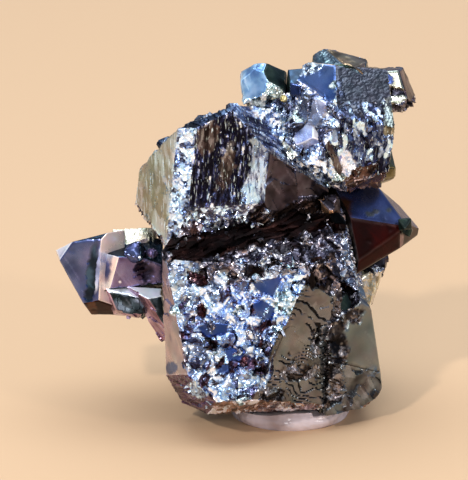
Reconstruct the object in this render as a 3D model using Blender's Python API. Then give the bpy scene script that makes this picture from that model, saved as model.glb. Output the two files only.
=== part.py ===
import math
import random

import bmesh
import bpy
from mathutils import Matrix, Vector

# A cluster of metallic octahedral crystals, grown into one another, pressed into a blob of mounting putty.
# Frame: origin at the middle of the putty's flat underside, +Z up, -Y towards the side that shows best.

# Lengths in the tables below are in millimetres and angles in degrees; objects are made in metres
MM = 0.001

# Driving dimensions: where the cluster stands over the putty, the putty's blob, and the gap between the two pieces
CLUSTER_SHIFT = (0.0, -1.0, 0.35)
PUTTY_RADIUS = 4.5
PUTTY_FOOT_RADIUS = 4.35
PUTTY_HEIGHT = 2.2
PUTTY_WIDEST_AT = 0.4
PUTTY_LOBES = 5
PUTTY_LOBE_DEPTH = 0.16
PUTTY_SIDES = 56
CLEARANCE = 0.3

# How the solids are cut and joined: the block a crystal is cut from, points that count as one, and neighbouring
# triangles that count as one flat face
BLOCK_REACH = 30.0
WELD = 0.0012
FLAT_WITHIN = 0.2
SEED = 3

# Each crystal is the space inside its named faces. A face is (azimuth, elevation, distance from the centre):
# azimuth 0 faces -Y, 90 faces +X and 180 faces +Y; elevation 90 faces up.
CRYSTALS = {
    "base": {"centre": (-2.0, 1.0, 5.5), "faces": {
        "front": (4, 13, 7.2), "right": (32, -1, 6.65), "left": (-66, -5, 8.3), "skirt": (7, -59, 5.8),
        "heel": (-53, -37, 7.45), "shelf": (6, 48, 9.5), "foot": (0, -90, 4.55), "back": (175, 5, 6.0),
        "back_right": (110, 5, 4.4), "back_left": (-126, 4, 3.5), "back_top": (170, 50, 7.0)}},
    "tablet": {"centre": (4.5, 1.5, 4.0), "faces": {
        "face": (36, 7, 3.9), "lower": (30, -9, 3.95), "edge": (101, 8, 1.5), "edge_low": (95, -38, 2.65),
        "toe": (63, -57, 3.75), "crown": (84, 37, 4.15), "crown_left": (-20, 60, 6.25), "left": (-61, 0, 4.25),
        "back": (200, 0, 3.0), "foot": (0, -90, 3.05)}},
    "upper_left": {"centre": (-5.0, 0.0, 18.0), "faces": {
        "front": (14, -8, 3.4), "strip": (-25, -4, 4.8), "left": (-46, -1, 5.2), "brown": (32, -9, 3.95),
        "crest": (-39, 60, 7.4), "bevel": (56, 24, 5.5), "band": (14, -18, 3.4), "under": (30, -66, 4.4),
        "under_left": (-77, -34, 6.1), "back_crest": (-150, 46, 2.55), "back": (178, 0, 5.0),
        "left_rim": (-98, 7, 6.05), "back_left": (-111, 38, 5.05), "back_right": (110, 10, 7.15)}},
    "upper_right": {"centre": (4.0, 0.5, 22.5), "faces": {
        "blue": (-33, 40, 3.95), "slate": (27, 43, 3.55), "left": (-44, 9, 3.3), "front": (6, -16, 3.25),
        "right": (101, -3, 2.85), "chin": (24, -52, 4.5), "chin_left": (-40, -50, 4.25), "top": (-20, 105, 4.15),
        "back": (180, 0, 4.0), "back_right": (128, 20, 4.0), "back_left": (-130, 10, 3.1), "foot": (0, -86, 5.2),
        "back_top": (170, 50, 4.4)}},
    "right_octahedron": {"centre": (5.5, 3.0, 13.5), "faces": {
        "blue": (37, 47, 2.25), "dark": (39, -18, 2.6), "rim": (24, 13, 2.35), "tip": (67, -9, 2.95),
        "under": (65, -57, 2.65), "slope": (92, 40, 2.7), "back": (175, 0, 3.0), "back_top": (160, 50, 3.0),
        "foot": (0, -84, 3.6), "left": (-59, -5, 2.2)}},
    "left_tip": {"centre": (-14.5, 2.0, 10.0), "faces": {
        "front": (-15, 5, 1.6), "peach": (38, 2, 1.55), "left": (-83, -28, 1.75), "top": (-28, 56, 3.45),
        "snout": (-78, 32, 3.2), "under": (5, -47, 2.2), "back": (175, 0, 2.0), "right": (90, 0, 2.2),
        "foot": (-40, -84, 3.05), "back_top": (-150, 62, 2.7)}},
    "left_middle": {"centre": (-11.5, 1.5, 11.0), "faces": {
        "front": (4, -2, 1.3), "peach": (-39, 9, 2.05), "top": (26, 41, 1.75), "under": (10, -50, 1.7),
        "back": (180, 0, 2.0), "ridge": (-8, 84, 1.3), "right": (90, 0, 2.0), "left": (-100, 10, 2.2)}},
    "left_ridge": {"centre": (-11.9, 3.0, 12.3), "faces": {
        "front": (11, 20, 0.6), "left": (-84, 10, 1.3), "right": (80, 10, 1.7), "top": (-20, 68, 0.35),
        "under": (0, -60, 0.9), "back": (175, 10, 1.2)}},
    "left_bead": {"centre": (-11.5, 0.5, 12.5), "faces": {
        "front": (-30, 30, 0.6), "right": (50, 20, 0.6), "top": (10, 70, 0.7), "left": (-84, 0, 0.7),
        "under": (0, -44, 0.65), "right_low": (86, -20, 0.7), "back": (180, 0, 0.8)}},
    "blade_one": {"centre": (-12.0, 0.5, 8.5), "faces": {
        "front": (-5, 11, 0.8), "left": (-70, -14, 1.2), "under": (-17, -59, 0.95), "right": (81, -4, 1.25),
        "top": (11, 62, 0.95), "back": (180, 0, 0.9), "toe": (53, -52, 1.4)}},
    "blade_two": {"centre": (-10.0, -0.5, 7.5), "faces": {
        "front": (20, 8, 0.8), "left": (-48, -23, 0.15), "tip": (-7, -65, 1.55), "right": (89, 10, 0.75),
        "top": (2, 73, 1.95), "back": (175, 0, 0.6)}},
    "shoulder": {"centre": (3.0, 0.0, 12.0), "faces": {
        "front": (32, 22, 1.75), "left": (-36, 29, 2.55), "under": (-41, -57, 1.6), "right": (86, 12, 1.6),
        "top": (1, 86, 2.35), "back": (180, 0, 2.6), "left_low": (-80, -10, 2.6)}},
    "right_sliver": {"centre": (6.5, 4.5, 8.5), "faces": {
        "front": (28, 9, 0.2), "left": (-60, 30, 1.5), "right": (80, -16, 0.05), "top": (-29, 69, 1.2),
        "foot": (0, -80, 1.65), "back": (190, 0, 1.8)}},
    "nape_knob": {"centre": (7.0, 3.0, 18.5), "faces": {
        "front": (39, -17, 1.2), "top": (60, 52, 0.7), "right": (97, 2, 0.75), "under": (42, -64, 1.3),
        "left": (-60, 0, 1.3), "back": (185, 0, 1.2), "crown": (0, 80, 1.5)}},
    "round_knob": {"centre": (-2.0, 1.0, 25.0), "faces": {
        "blue": (-36, 22, 1.35), "dark": (62, 44, 1.4), "etched": (8, -34, 1.4), "top": (-20, 74, 1.75),
        "left": (-88, -6, 1.7), "left_top": (-84, 44, 1.7), "left_low": (-66, -48, 1.65), "right": (88, 0, 1.7),
        "foot": (0, -80, 1.75), "right_low": (70, -44, 1.7), "back": (180, 0, 1.6), "front": (26, 4, 1.55),
        "back_top": (175, 48, 1.6)}},
    "crown_cap": {"centre": (3.6, 1.0, 26.4), "faces": {
        "top": (80, 74, 0.8), "left": (-60, 50, 1.2), "left_low": (-80, 0, 1.75), "right": (70, 44, 1.5),
        "right_low": (84, 0, 1.95), "front": (0, 12, 1.4), "back": (180, 10, 1.4), "foot": (0, -88, 1.4)}},
    "corner_knob": {"centre": (7.5, 1.5, 24.5), "faces": {
        "top": (10, 70, 0.9), "front": (20, 22, 1.3), "right": (80, 20, 1.1), "right_low": (84, -34, 1.6),
        "left": (-80, 10, 1.2), "back": (180, 10, 1.4), "foot": (0, -80, 1.5), "front_low": (30, -40, 1.4)}},
    "link_knob": {"centre": (0.4, 0.3, 25.05), "faces": {
        "front": (-20, 10, 0.6), "top": (-10, 62, 0.75), "right": (60, 10, 0.65), "left": (-80, 4, 0.6),
        "under": (0, -50, 0.75), "back": (180, 0, 0.9)}},
    "cheek": {"centre": (1.4, -2.5, 22.7), "faces": {
        "left": (-60, 14, 0.4), "front": (18, 20, 0.4), "under": (-20, -52, 0.42), "right": (90, 0, 0.55),
        "top": (-20, 66, 0.5), "back": (170, 0, 1.2)}},
}

# Whole octahedra: centre, distance of the eight faces, how much of each corner is kept, turns about X, Y and Z.
# They finish the side that faces away, fill the joint between the two upper crystals, and make the small grains.
OCTAHEDRA = {
    "back_large": ((-4.5, 6.5, 9.0), 3.5, 0.72, (12, 20, 35)),
    "back_waist": ((3.5, 5.0, 13.5), 3.1, 0.80, (-25, 8, 10)),
    "back_upper": ((-1.5, 4.5, 17.5), 2.8, 0.78, (30, -15, 50)),
    "back_low": ((2.5, 6.0, 5.5), 2.9, 0.75, (5, -28, 20)),
    "back_neck": ((1.0, 3.5, 21.5), 2.2, 0.80, (-10, 24, 65)),
    "back_small": ((-8.5, 5.5, 13.5), 1.5, 0.85, (40, 10, 15)),
    "back_bead": ((5.9, 5.5, 10.3), 1.3, 0.85, (15, 35, 40)),
    "link_one": ((-0.6, 0.2, 23.6), 0.9, 0.85, (20, 10, 30)),
    "link_two": ((0.5, -0.6, 22.5), 0.9, 0.80, (-15, 30, 60)),
    "link_three": ((-1.6, 1.0, 23.3), 0.9, 0.90, (35, -20, 10)),
    "link_four": ((0.2, -1.2, 20.9), 0.8, 0.80, (10, 45, 25)),
    "olive": ((3.6, -1.8, 8.9), 0.8, 0.85, (25, 15, 70)),
    "olive_low": ((4.4, -1.2, 8.0), 0.6, 0.85, (50, 5, 20)),
    "tip_crumb": ((8.5, 1.6, 14.2), 0.45, 0.90, (15, 40, 10)),
    "tip_crumb_low": ((8.7, 1.9, 13.6), 0.36, 0.90, (45, 10, 35)),
    "yellow_grain": ((-0.5, -0.9, 23.9), 0.30, 1.0, (30, 30, 0)),
    "yellow_grain_left": ((-2.6, -0.2, 22.9), 0.22, 1.0, (0, 30, 30)),
    "back_crest_knob": ((-5.2, 4.6, 20.0), 1.7, 0.82, (25, 40, 10)),
    "back_side_knob": ((-8.0, 4.4, 17.5), 1.5, 0.80, (-20, 15, 30)),
    "back_bump": ((-9.2, 1.4, 20.4), 0.55, 0.85, (20, 20, 20)),
}

# Growth hillocks: small octahedra that break through a face, their centres sunk by a share of their radius. Each line
# is a face, how many, their radius from and to, and the least distance between two.
HILLOCK_SUNK = 0.42
HILLOCKS = [
    ("base", "front", 70, 0.55, 1.20, 0.80),
    ("base", "shelf", 18, 0.50, 0.95, 0.85),
    ("base", "heel", 7, 0.40, 0.70, 0.80),
    ("base", "left", 7, 0.40, 0.70, 1.20),
    ("base", "right", 8, 0.50, 0.80, 1.10),
    ("base", "back", 8, 0.60, 1.20, 1.50),
    ("shoulder", "front", 12, 0.30, 0.60, 0.50),
    ("shoulder", "left", 12, 0.30, 0.60, 0.50),
    ("upper_left", "band", 18, 0.40, 0.75, 0.65),
    ("upper_left", "strip", 12, 0.28, 0.45, 0.55),
    ("upper_left", "under", 9, 0.40, 0.80, 0.90),
    ("upper_left", "back", 6, 0.60, 1.20, 1.60),
    ("upper_right", "slate", 14, 0.30, 0.55, 0.65),
    ("upper_right", "left", 12, 0.40, 0.75, 0.65),
    ("upper_right", "front", 8, 0.35, 0.60, 0.75),
    ("upper_right", "chin", 7, 0.40, 0.70, 0.75),
    ("upper_right", "chin_left", 7, 0.40, 0.75, 0.75),
    ("left_tip", "left", 3, 0.35, 0.50, 0.90),
    ("tablet", "lower", 5, 0.30, 0.50, 0.90),
]

# Etch pits: small octahedra that dip into a face, in the same order of values
PIT_RAISED = 0.35
PITS = [
    ("base", "front", 14, 0.45, 0.75, 1.20),
    ("base", "right", 9, 0.30, 0.50, 0.90),
    ("shoulder", "front", 4, 0.25, 0.35, 0.70),
    ("upper_left", "front", 5, 0.25, 0.40, 0.90),
    ("upper_right", "front", 5, 0.30, 0.45, 0.80),
]

# Striations and growth steps: low straight ridges on a face. Each line is a face, how many, their direction in the
# face (0 is level, 90 is up), their length from and to, their width and height.
RIDGE_SWAY = 4
RIDGE_SPACING = 2.2
RIDGE_EDGE_GAP = 0.1
RIDGES = [
    ("upper_left", "front", 13, 84, 1.2, 3.4, 0.24, 0.12),
    ("upper_left", "left", 5, 78, 1.6, 3.6, 0.22, 0.10),
    ("upper_left", "bevel", 4, 52, 1.4, 2.8, 0.24, 0.12),
    ("upper_left", "brown", 4, 12, 1.2, 2.6, 0.22, 0.10),
    ("upper_right", "front", 9, 82, 0.9, 2.0, 0.30, 0.20),
    ("upper_right", "right", 5, 80, 1.2, 3.0, 0.24, 0.12),
    ("base", "right", 7, 14, 1.0, 2.6, 0.24, 0.12),
    ("tablet", "face", 4, 6, 1.2, 2.4, 0.20, 0.10),
    ("blade_one", "front", 3, 74, 0.8, 1.3, 0.18, 0.09),
]

# The crystals that the putty takes an imprint of
IMPRINT = ("base", "tablet")

LOOKS = {
    "crystal_cluster": {"colour": (0.30, 0.32, 0.36), "metallic": 1.0, "roughness": 0.28},
    "mounting_putty": {"colour": (0.60, 0.56, 0.57), "metallic": 0.0, "roughness": 0.25},
}


def facing(azimuth, elevation):
    """The outward direction of a face."""
    a, e = math.radians(azimuth), math.radians(elevation)
    return Vector((math.sin(a) * math.cos(e), -math.cos(a) * math.cos(e), math.sin(e)))


def cut_solid(centre, planes, reach):
    """A block of half-size reach, cut back to the planes (normal, distance) around centre, in millimetres."""
    bm = bmesh.new()
    bmesh.ops.create_cube(bm, size=2 * reach, matrix=Matrix.Translation(centre))
    for normal, distance in planes:
        cut = bmesh.ops.bisect_plane(bm, geom=bm.verts[:] + bm.edges[:] + bm.faces[:], dist=1e-6,
                                     plane_co=Vector(centre) + normal * distance, plane_no=normal, clear_outer=True)
        rim = [item for item in cut["geom_cut"] if isinstance(item, bmesh.types.BMEdge)]
        if rim:
            bmesh.ops.contextual_create(bm, geom=rim)
    bmesh.ops.recalc_face_normals(bm, faces=bm.faces)
    return bm


def weld(bm):
    """Welds points that nearly meet, drops faces with no area and leaves flat triangles."""
    bmesh.ops.remove_doubles(bm, verts=bm.verts, dist=WELD)
    bmesh.ops.dissolve_degenerate(bm, edges=bm.edges, dist=WELD)
    bmesh.ops.triangulate(bm, faces=bm.faces)
    bmesh.ops.recalc_face_normals(bm, faces=bm.faces)


def to_object(bm, name):
    """A shape as an object, still in millimetres, of flat triangles that a Boolean reads exactly."""
    mesh = bpy.data.meshes.new(name)
    weld(bm)
    bm.to_mesh(mesh)
    bm.free()
    thing = bpy.data.objects.new(name, mesh)
    bpy.context.scene.collection.objects.link(thing)
    return thing


def crystal_centre(name):
    return Vector(CRYSTALS[name]["centre"]) + Vector(CLUSTER_SHIFT)


def crystal_planes(name, grow=0.0):
    return [(facing(a, e), d + grow) for a, e, d in CRYSTALS[name]["faces"].values()]


def crystal_bmesh(name, grow=0.0):
    return cut_solid(crystal_centre(name), crystal_planes(name, grow), BLOCK_REACH)


def octahedron_bmesh(centre, distance, corner_kept, turns):
    """An octahedron with its corners cut flat by cube faces; at 1 the corners stay whole."""
    turn = Matrix.Rotation(math.radians(turns[2]), 3, "Z") @ Matrix.Rotation(math.radians(turns[1]), 3, "Y")
    turn = turn @ Matrix.Rotation(math.radians(turns[0]), 3, "X")
    faces = [turn @ Vector((x, y, z)).normalized() for x in (-1, 1) for y in (-1, 1) for z in (-1, 1)]
    corners = [turn @ (Vector(axis) * side) for axis in ((1, 0, 0), (0, 1, 0), (0, 0, 1)) for side in (-1, 1)]
    planes = [(normal, distance) for normal in faces]
    if corner_kept < 1:
        planes += [(normal, distance * math.sqrt(3) * corner_kept) for normal in corners]
    return cut_solid(Vector(centre), planes, 2 * distance)


def face_polygon(name, face):
    """The corners of one face of a crystal, with its level and upward directions and its normal."""
    index = list(CRYSTALS[name]["faces"]).index(face)
    normal = crystal_planes(name)[index][0]
    bm = crystal_bmesh(name)
    corners = max(([v.co.copy() for v in f.verts] for f in bm.faces if f.normal.dot(normal) > 0.9999), key=len)
    bm.free()
    level = Vector((0, 0, 1)).cross(normal).normalized()
    return corners, level, normal.cross(level), normal


def spots_on(corners, count, spacing, chance):
    """Points spread over a polygon, at least spacing apart."""
    fans = [(corners[0], corners[i], corners[i + 1]) for i in range(1, len(corners) - 1)]
    areas = [(b - a).cross(c - a).length for a, b, c in fans]
    spots = []
    for _ in range(count * 40):
        a, b, c = chance.choices(fans, areas)[0]
        s, t = chance.random(), chance.random()
        if s + t > 1:
            s, t = 1 - s, 1 - t
        spot = a + (b - a) * s + (c - a) * t
        if all((spot - other).length > spacing for other in spots):
            spots.append(spot)
        if len(spots) == count:
            break
    return spots


def octahedra_on(rows, chance, sunk, label):
    """Small turned octahedra on a face, their centres sunk below it by a share of their radius."""
    pieces = []
    for name, face, count, smallest, largest, spacing in rows:
        corners, level, up, normal = face_polygon(name, face)
        for spot in spots_on(corners, count, spacing, chance):
            radius = smallest + (largest - smallest) * chance.random() ** 2
            turns = [chance.uniform(-45, 45) for _ in range(3)]
            bm = octahedron_bmesh(spot - normal * radius * sunk, radius / math.sqrt(3), 1.0, turns)
            pieces.append(to_object(bm, f"{label}_{name}_{face}"))
    return pieces


def ridges_on(rows, chance):
    """Low roof-shaped ridges lying along a face."""
    pieces = []
    for name, face, count, direction, shortest, longest, width, height in rows:
        corners, level, up, normal = face_polygon(name, face)
        lean = math.atan2(height, width / 2)
        for spot in spots_on(corners, count, width * RIDGE_SPACING, chance):
            turn = math.radians(direction + chance.uniform(-RIDGE_SWAY, RIDGE_SWAY))
            along = level * math.cos(turn) + up * math.sin(turn)
            side = normal.cross(along)
            room = min(reach_inside(corners, spot, along, normal), reach_inside(corners, spot, -along, normal))
            half = min(chance.uniform(shortest, longest) / 2, room - RIDGE_EDGE_GAP)
            if half < width:
                continue
            planes = [(along, half), (-along, half), (-normal, 2 * height)]
            slopes = [normal * math.cos(lean) + side * math.sin(lean) * way for way in (-1, 1)]
            planes += [(slope, height * math.cos(lean)) for slope in slopes]
            pieces.append(to_object(cut_solid(spot, planes, longest), f"ridge_{name}_{face}"))
    return pieces


def reach_inside(corners, spot, way, normal):
    """How far one can go from spot along way before leaving the polygon."""
    nearest = BLOCK_REACH
    for i, start in enumerate(corners):
        edge = corners[(i + 1) % len(corners)] - start
        outward = edge.cross(normal).normalized()
        if outward.dot(spot - start) > 0:
            outward = -outward
        slope = way.dot(outward)
        if slope > 1e-6:
            nearest = min(nearest, (start - spot).dot(outward) / slope)
    return nearest


def keep_largest_body(bm):
    """Drops the crumbs that welding left loose beside the main body."""
    left = set(bm.faces)
    bodies = []
    while left:
        body, to_visit = [], [left.pop()]
        while to_visit:
            face = to_visit.pop()
            body.append(face)
            near = {other for edge in face.edges for other in edge.link_faces} & left
            left -= near
            to_visit += near
        bodies.append(body)
    bodies.sort(key=len)
    crumbs = [face for body in bodies[:-1] for face in body]
    bmesh.ops.delete(bm, geom=crumbs, context="FACES")


def combine(body, others, operation):
    """Joins all the others to body, or cuts them out of it, and removes them."""
    group = bpy.data.collections.new(operation)
    for other in others:
        group.objects.link(other)
    step = body.modifiers.new(operation, "BOOLEAN")
    step.operation = operation
    step.operand_type = "COLLECTION"
    step.collection = group
    step.solver = "EXACT"
    shape = body.evaluated_get(bpy.context.evaluated_depsgraph_get())
    bm = bmesh.new()
    bm.from_mesh(shape.data)
    body.modifiers.clear()
    bmesh.ops.dissolve_limit(bm, angle_limit=math.radians(FLAT_WITHIN), verts=bm.verts, edges=bm.edges)
    weld(bm)
    keep_largest_body(bm)
    bm.to_mesh(body.data)
    bm.free()
    for other in others:
        bpy.data.objects.remove(other)
    bpy.data.collections.remove(group)


def finish(thing, name):
    """Names a finished shape, brings it from millimetres to metres and gives it its material."""
    thing.data.transform(Matrix.Scale(MM, 4))
    thing.name = name
    give_look(thing)


def give_look(thing):
    look = LOOKS[thing.name]
    material = bpy.data.materials.new(thing.name)
    material.use_nodes = True
    shader = material.node_tree.nodes["Principled BSDF"]
    shader.inputs["Base Color"].default_value = (*look["colour"], 1)
    shader.inputs["Metallic"].default_value = look["metallic"]
    shader.inputs["Roughness"].default_value = look["roughness"]
    material.diffuse_color = (*look["colour"], 1)
    thing.data.materials.clear()
    thing.data.materials.append(material)


def make_cluster():
    """Every crystal, each with its own pits, and all the hillocks and ridges, joined in one solid."""
    chance = random.Random(SEED)
    crystals = []
    for name in CRYSTALS:
        crystals.append(to_object(crystal_bmesh(name), name))
        pits = octahedra_on([row for row in PITS if row[0] == name], chance, -PIT_RAISED, "pit")
        if pits:
            combine(crystals[-1], pits, "DIFFERENCE")
    for name, (centre, distance, corner_kept, turns) in OCTAHEDRA.items():
        moved = Vector(centre) + Vector(CLUSTER_SHIFT)
        crystals.append(to_object(octahedron_bmesh(moved, distance, corner_kept, turns), name))
    details = octahedra_on(HILLOCKS, chance, HILLOCK_SUNK, "hillock") + ridges_on(RIDGES, chance)
    cluster = crystals[0]
    combine(cluster, crystals[1:] + details, "UNION")
    finish(cluster, "crystal_cluster")


def putty_radius(angle, height):
    """Radius of the putty blob at a height: bulging above the foot, rounding in towards the top, softly lobed."""
    if height < PUTTY_WIDEST_AT:
        share = height / PUTTY_WIDEST_AT
        radius = PUTTY_FOOT_RADIUS + (PUTTY_RADIUS - PUTTY_FOOT_RADIUS) * math.sin(share * math.pi / 2)
    else:
        share = (height - PUTTY_WIDEST_AT) / (PUTTY_HEIGHT - PUTTY_WIDEST_AT)
        radius = PUTTY_RADIUS * math.sqrt(max(1 - share * share * 0.9, 0))
    lobe = math.sin(PUTTY_LOBES * angle + 0.7) + 0.5 * math.sin((PUTTY_LOBES + 3) * angle + 2.0)
    return radius + PUTTY_LOBE_DEPTH * lobe * math.sin(min(height / PUTTY_WIDEST_AT, 1) * math.pi / 2)


def make_putty():
    """A low round blob, flat underneath, with the imprint of the crystals that stand in it."""
    bm = bmesh.new()
    heights = [PUTTY_HEIGHT * share for share in (0, 0.05, 0.12, 0.2, 0.32, 0.46, 0.6, 0.74, 0.88, 1)]
    rings = []
    for height in heights:
        angles = [2 * math.pi * i / PUTTY_SIDES for i in range(PUTTY_SIDES)]
        radii = [putty_radius(angle, height) for angle in angles]
        rings.append([bm.verts.new((r * math.cos(a), r * math.sin(a), height)) for a, r in zip(angles, radii)])
    for low, high in zip(rings, rings[1:]):
        for i in range(PUTTY_SIDES):
            j = (i + 1) % PUTTY_SIDES
            bm.faces.new((low[i], low[j], high[j], high[i]))
    bm.faces.new(rings[0][::-1])
    bm.faces.new(rings[-1])
    putty = to_object(bm, "putty")
    imprints = [to_object(crystal_bmesh(name, CLEARANCE), f"imprint_{name}") for name in IMPRINT]
    combine(putty, imprints, "DIFFERENCE")
    finish(putty, "mounting_putty")


def main():
    for old in list(bpy.data.objects):
        bpy.data.objects.remove(old)
    make_cluster()
    make_putty()


if __name__ == "__main__":
    main()
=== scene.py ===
# Carrollite crystal cluster on a pressed blob of putty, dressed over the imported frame.
import bpy, bmesh, math, random
import numpy as np
from mathutils import Matrix, Vector


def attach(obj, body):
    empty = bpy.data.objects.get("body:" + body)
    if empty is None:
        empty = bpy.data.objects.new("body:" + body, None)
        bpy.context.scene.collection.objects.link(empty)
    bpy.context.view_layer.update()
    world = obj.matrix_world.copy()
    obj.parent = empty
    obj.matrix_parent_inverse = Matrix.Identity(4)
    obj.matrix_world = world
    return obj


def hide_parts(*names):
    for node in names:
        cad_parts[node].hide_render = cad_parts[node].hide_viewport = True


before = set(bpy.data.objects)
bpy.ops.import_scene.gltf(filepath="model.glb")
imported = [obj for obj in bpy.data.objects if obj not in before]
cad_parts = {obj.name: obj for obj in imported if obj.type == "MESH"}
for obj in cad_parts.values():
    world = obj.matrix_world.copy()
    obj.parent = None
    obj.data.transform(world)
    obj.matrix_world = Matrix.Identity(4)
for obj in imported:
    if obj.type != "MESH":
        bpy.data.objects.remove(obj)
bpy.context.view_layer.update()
mm = 0.001
clusterShift = (0.0, -1.0, 0.35)   # the crystals stand this far, in mm, from where their centres are given
photoScale = 0.075                 # mm of the object to a pixel of the photo

print("camera")
photo = {
    "size": (468, 480),
    "lookDown": 18.0,                  # degrees below level
    "distance": 420.0,                 # mm
    "middle": (-4.2, 3.975, 12.23),    # mm, the point in the middle of the frame
    "lens": 420.0,
    "sensor": 36.0,
}

lookDown = math.radians(photo["lookDown"])
lookWay = Vector((0, math.cos(lookDown), -math.sin(lookDown)))
lookUp = Vector((0, math.sin(lookDown), math.cos(lookDown)))
eye = Vector(photo["middle"]) - lookWay * photo["distance"]
cameraData = bpy.data.cameras.new("photoCamera")
cameraData.lens = photo["lens"]
cameraData.sensor_width = photo["sensor"]
cameraData.clip_start, cameraData.clip_end = 0.01, 20
camera = bpy.data.objects.new("photoCamera", cameraData)
camera.location = eye * mm
camera.rotation_euler = (math.radians(90 - photo["lookDown"]), 0, 0)
bpy.context.scene.collection.objects.link(camera)
bpy.context.scene.camera = camera
bpy.context.scene.view_settings.view_transform = "Standard"


# where points in mm fall in the photo's frame
def photoPixels(points):
    away = points - np.array(eye)
    depth = away @ np.array(lookWay)
    zoom = photo["lens"] / photo["sensor"] * photo["size"][1]
    return (photo["size"][0] / 2 + zoom * away[:, 0] / depth,
            photo["size"][1] / 2 - zoom * (away @ np.array(lookUp)) / depth)


def facing(azimuth, elevation):
    a, e = math.radians(azimuth), math.radians(elevation)
    return Vector((math.sin(a) * math.cos(e), -math.cos(a) * math.cos(e), math.sin(e)))


# the cleavage directions that the small broken facets share
cleavages = [facing(-16, 30), facing(24, 21), facing(-2, 50), facing(-75, 35),
             facing(90, 35), facing(180, 35), facing(140, 10), facing(-140, 10)]


# the slope along level and up that turns a facet of this face into the nearest cleavage direction
def cleavageSlope(normal, level, up):
    way = max(cleavages, key=lambda c: c.dot(normal))
    slope = Vector((-way.dot(level), -way.dot(up))) / max(0.3, way.dot(normal))
    return slope * min(1, 0.75 / max(slope.length, 0.01))


print("relief")


# an even random number for each whole cell
def speck(ix, iy, seed):
    n = ix.astype(np.int64) * 374761393 + iy.astype(np.int64) * 668265263 + int(seed) * 974634777
    n = n & 0xFFFFFFFF
    n = ((n ^ (n >> 13)) * 1274126177) & 0xFFFFFFFF
    return ((n ^ (n >> 16)) & 0xFFFFFF) / float(0x1000000)


def softNoise(u, v, size, seed):
    x, y = u / size, v / size
    ix, iy = np.floor(x), np.floor(y)
    fx, fy = x - ix, y - iy
    fx, fy = fx * fx * (3 - 2 * fx), fy * fy * (3 - 2 * fy)
    low = speck(ix, iy, seed) * (1 - fx) + speck(ix + 1, iy, seed) * fx
    high = speck(ix, iy + 1, seed) * (1 - fx) + speck(ix + 1, iy + 1, seed) * fx
    return low * (1 - fy) + high * fy


def layeredNoise(u, v, size, seed, layers=3):
    total, weight = 0, 0
    for i in range(layers):
        total = total + softNoise(u, v, size / 2 ** i, seed + 17 * i) / 2 ** i
        weight += 1 / 2 ** i
    return total / weight


# uneven cells: the number of each point's cell, the way to its middle, and how far inside its border
# the point is
def cells(u, v, size, seed, stretch=1.0):
    x, y = u / size, v / (size * stretch)
    ix, iy = np.floor(x), np.floor(y)
    near = np.full(x.shape, 9e9)
    second = near.copy()
    cx, cy, dx, dy = ix.copy(), iy.copy(), np.zeros_like(x), np.zeros_like(x)
    for ox in (-1, 0, 1):
        for oy in (-1, 0, 1):
            jx, jy = ix + ox, iy + oy
            ax = x - (jx + 0.1 + 0.8 * speck(jx, jy, seed))
            ay = y - (jy + 0.1 + 0.8 * speck(jx, jy, seed + 1))
            far = ax * ax + ay * ay
            closer = far < near
            second = np.where(closer, near, np.minimum(second, far))
            near = np.where(closer, far, near)
            cx, cy = np.where(closer, jx, cx), np.where(closer, jy, cy)
            dx, dy = np.where(closer, ax, dx), np.where(closer, ay, dy)
    return cx, cy, dx * size, dy * size * stretch, np.sqrt(second) - np.sqrt(near)


# broken facets: every cell is a small plane with its own level and lean, and a share turns to the cleavage
def facets(u, v, size, seed, steep, aim=(0, 0), share=0.0, stretch=1.0):
    cx, cy, dx, dy, gap = cells(u, v, size, seed, stretch)
    tone = speck(cx, cy, seed + 5)
    lit = np.where(tone > 1 - share, 0.4, 1.0)
    slopeX = lit * steep * (2 * speck(cx, cy, seed + 3) - 1) + aim[0] * (1.4 - lit)
    slopeY = lit * steep * (2 * speck(cx, cy, seed + 4) - 1) + aim[1] * (1.4 - lit)
    level = 0.25 * size * (speck(cx, cy, seed + 2) - 0.5)
    lean = (slopeX * aim[0] + slopeY * aim[1]) / max(0.05, aim[0] ** 2 + aim[1] ** 2)
    return level + slopeX * dx + slopeY * dy, tone, gap, np.clip(lean, -0.5, 1)


# shell-like breaks: curved ridges around a point beside each cell
def shells(u, v, size, seed, pitch, aim):
    cx, cy, dx, dy, _ = cells(u, v, size, seed)
    turn = 2 * math.pi * speck(cx, cy, seed + 6)
    fx, fy = dx + 0.75 * size * np.cos(turn), dy + 0.75 * size * np.sin(turn)
    far = np.maximum(np.hypot(fx, fy), 1e-6)
    ring = far / pitch + speck(cx, cy, seed + 8)
    band, part = np.floor(ring), ring - np.floor(ring)
    tone = speck(cx * 31 + band, cy, seed + 7)
    lean = (fx * aim[0] + fy * aim[1]) / far
    slope = np.where(tone > 0.55, lean, 0.3 * lean) + 0.3 * (tone - 0.5)
    return slope * (part - 0.5) * pitch, tone, speck(cx, cy, seed + 9)


# growth hillocks: three-sided points of many sizes that share one direction
def pyramids(u, v, size, seed, turn=0.3):
    third = 2.0944     # a third of a turn
    x, y = u / size, v / size
    ix, iy = np.floor(x), np.floor(y)
    top, shade = np.zeros_like(x), np.full_like(x, 0.5)
    for ox in (-1, 0, 1):
        for oy in (-1, 0, 1):
            jx, jy = ix + ox, iy + oy
            ax = x - (jx + 0.1 + 0.8 * speck(jx, jy, seed))
            ay = y - (jy + 0.1 + 0.8 * speck(jx, jy, seed + 1))
            reach = 0.35 + 0.55 * speck(jx, jy, seed + 2)
            way = turn + 0.5 * (speck(jx, jy, seed + 3) - 0.5) + math.pi * (speck(jx, jy, seed + 6) > 0.7)
            side, which = np.full_like(x, -9e9), np.zeros_like(x)
            for i in range(3):
                out = ax * np.cos(way + third * i) + ay * np.sin(way + third * i)
                which = np.where(out > side, i, which)
                side = np.maximum(side, out)
            rise = reach * 0.75 - side
            higher = rise > top
            top = np.where(higher, rise, top)
            shade = np.where(higher, speck(jx * 3 + which, jy, seed + 4), shade)
    return top, shade


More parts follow.
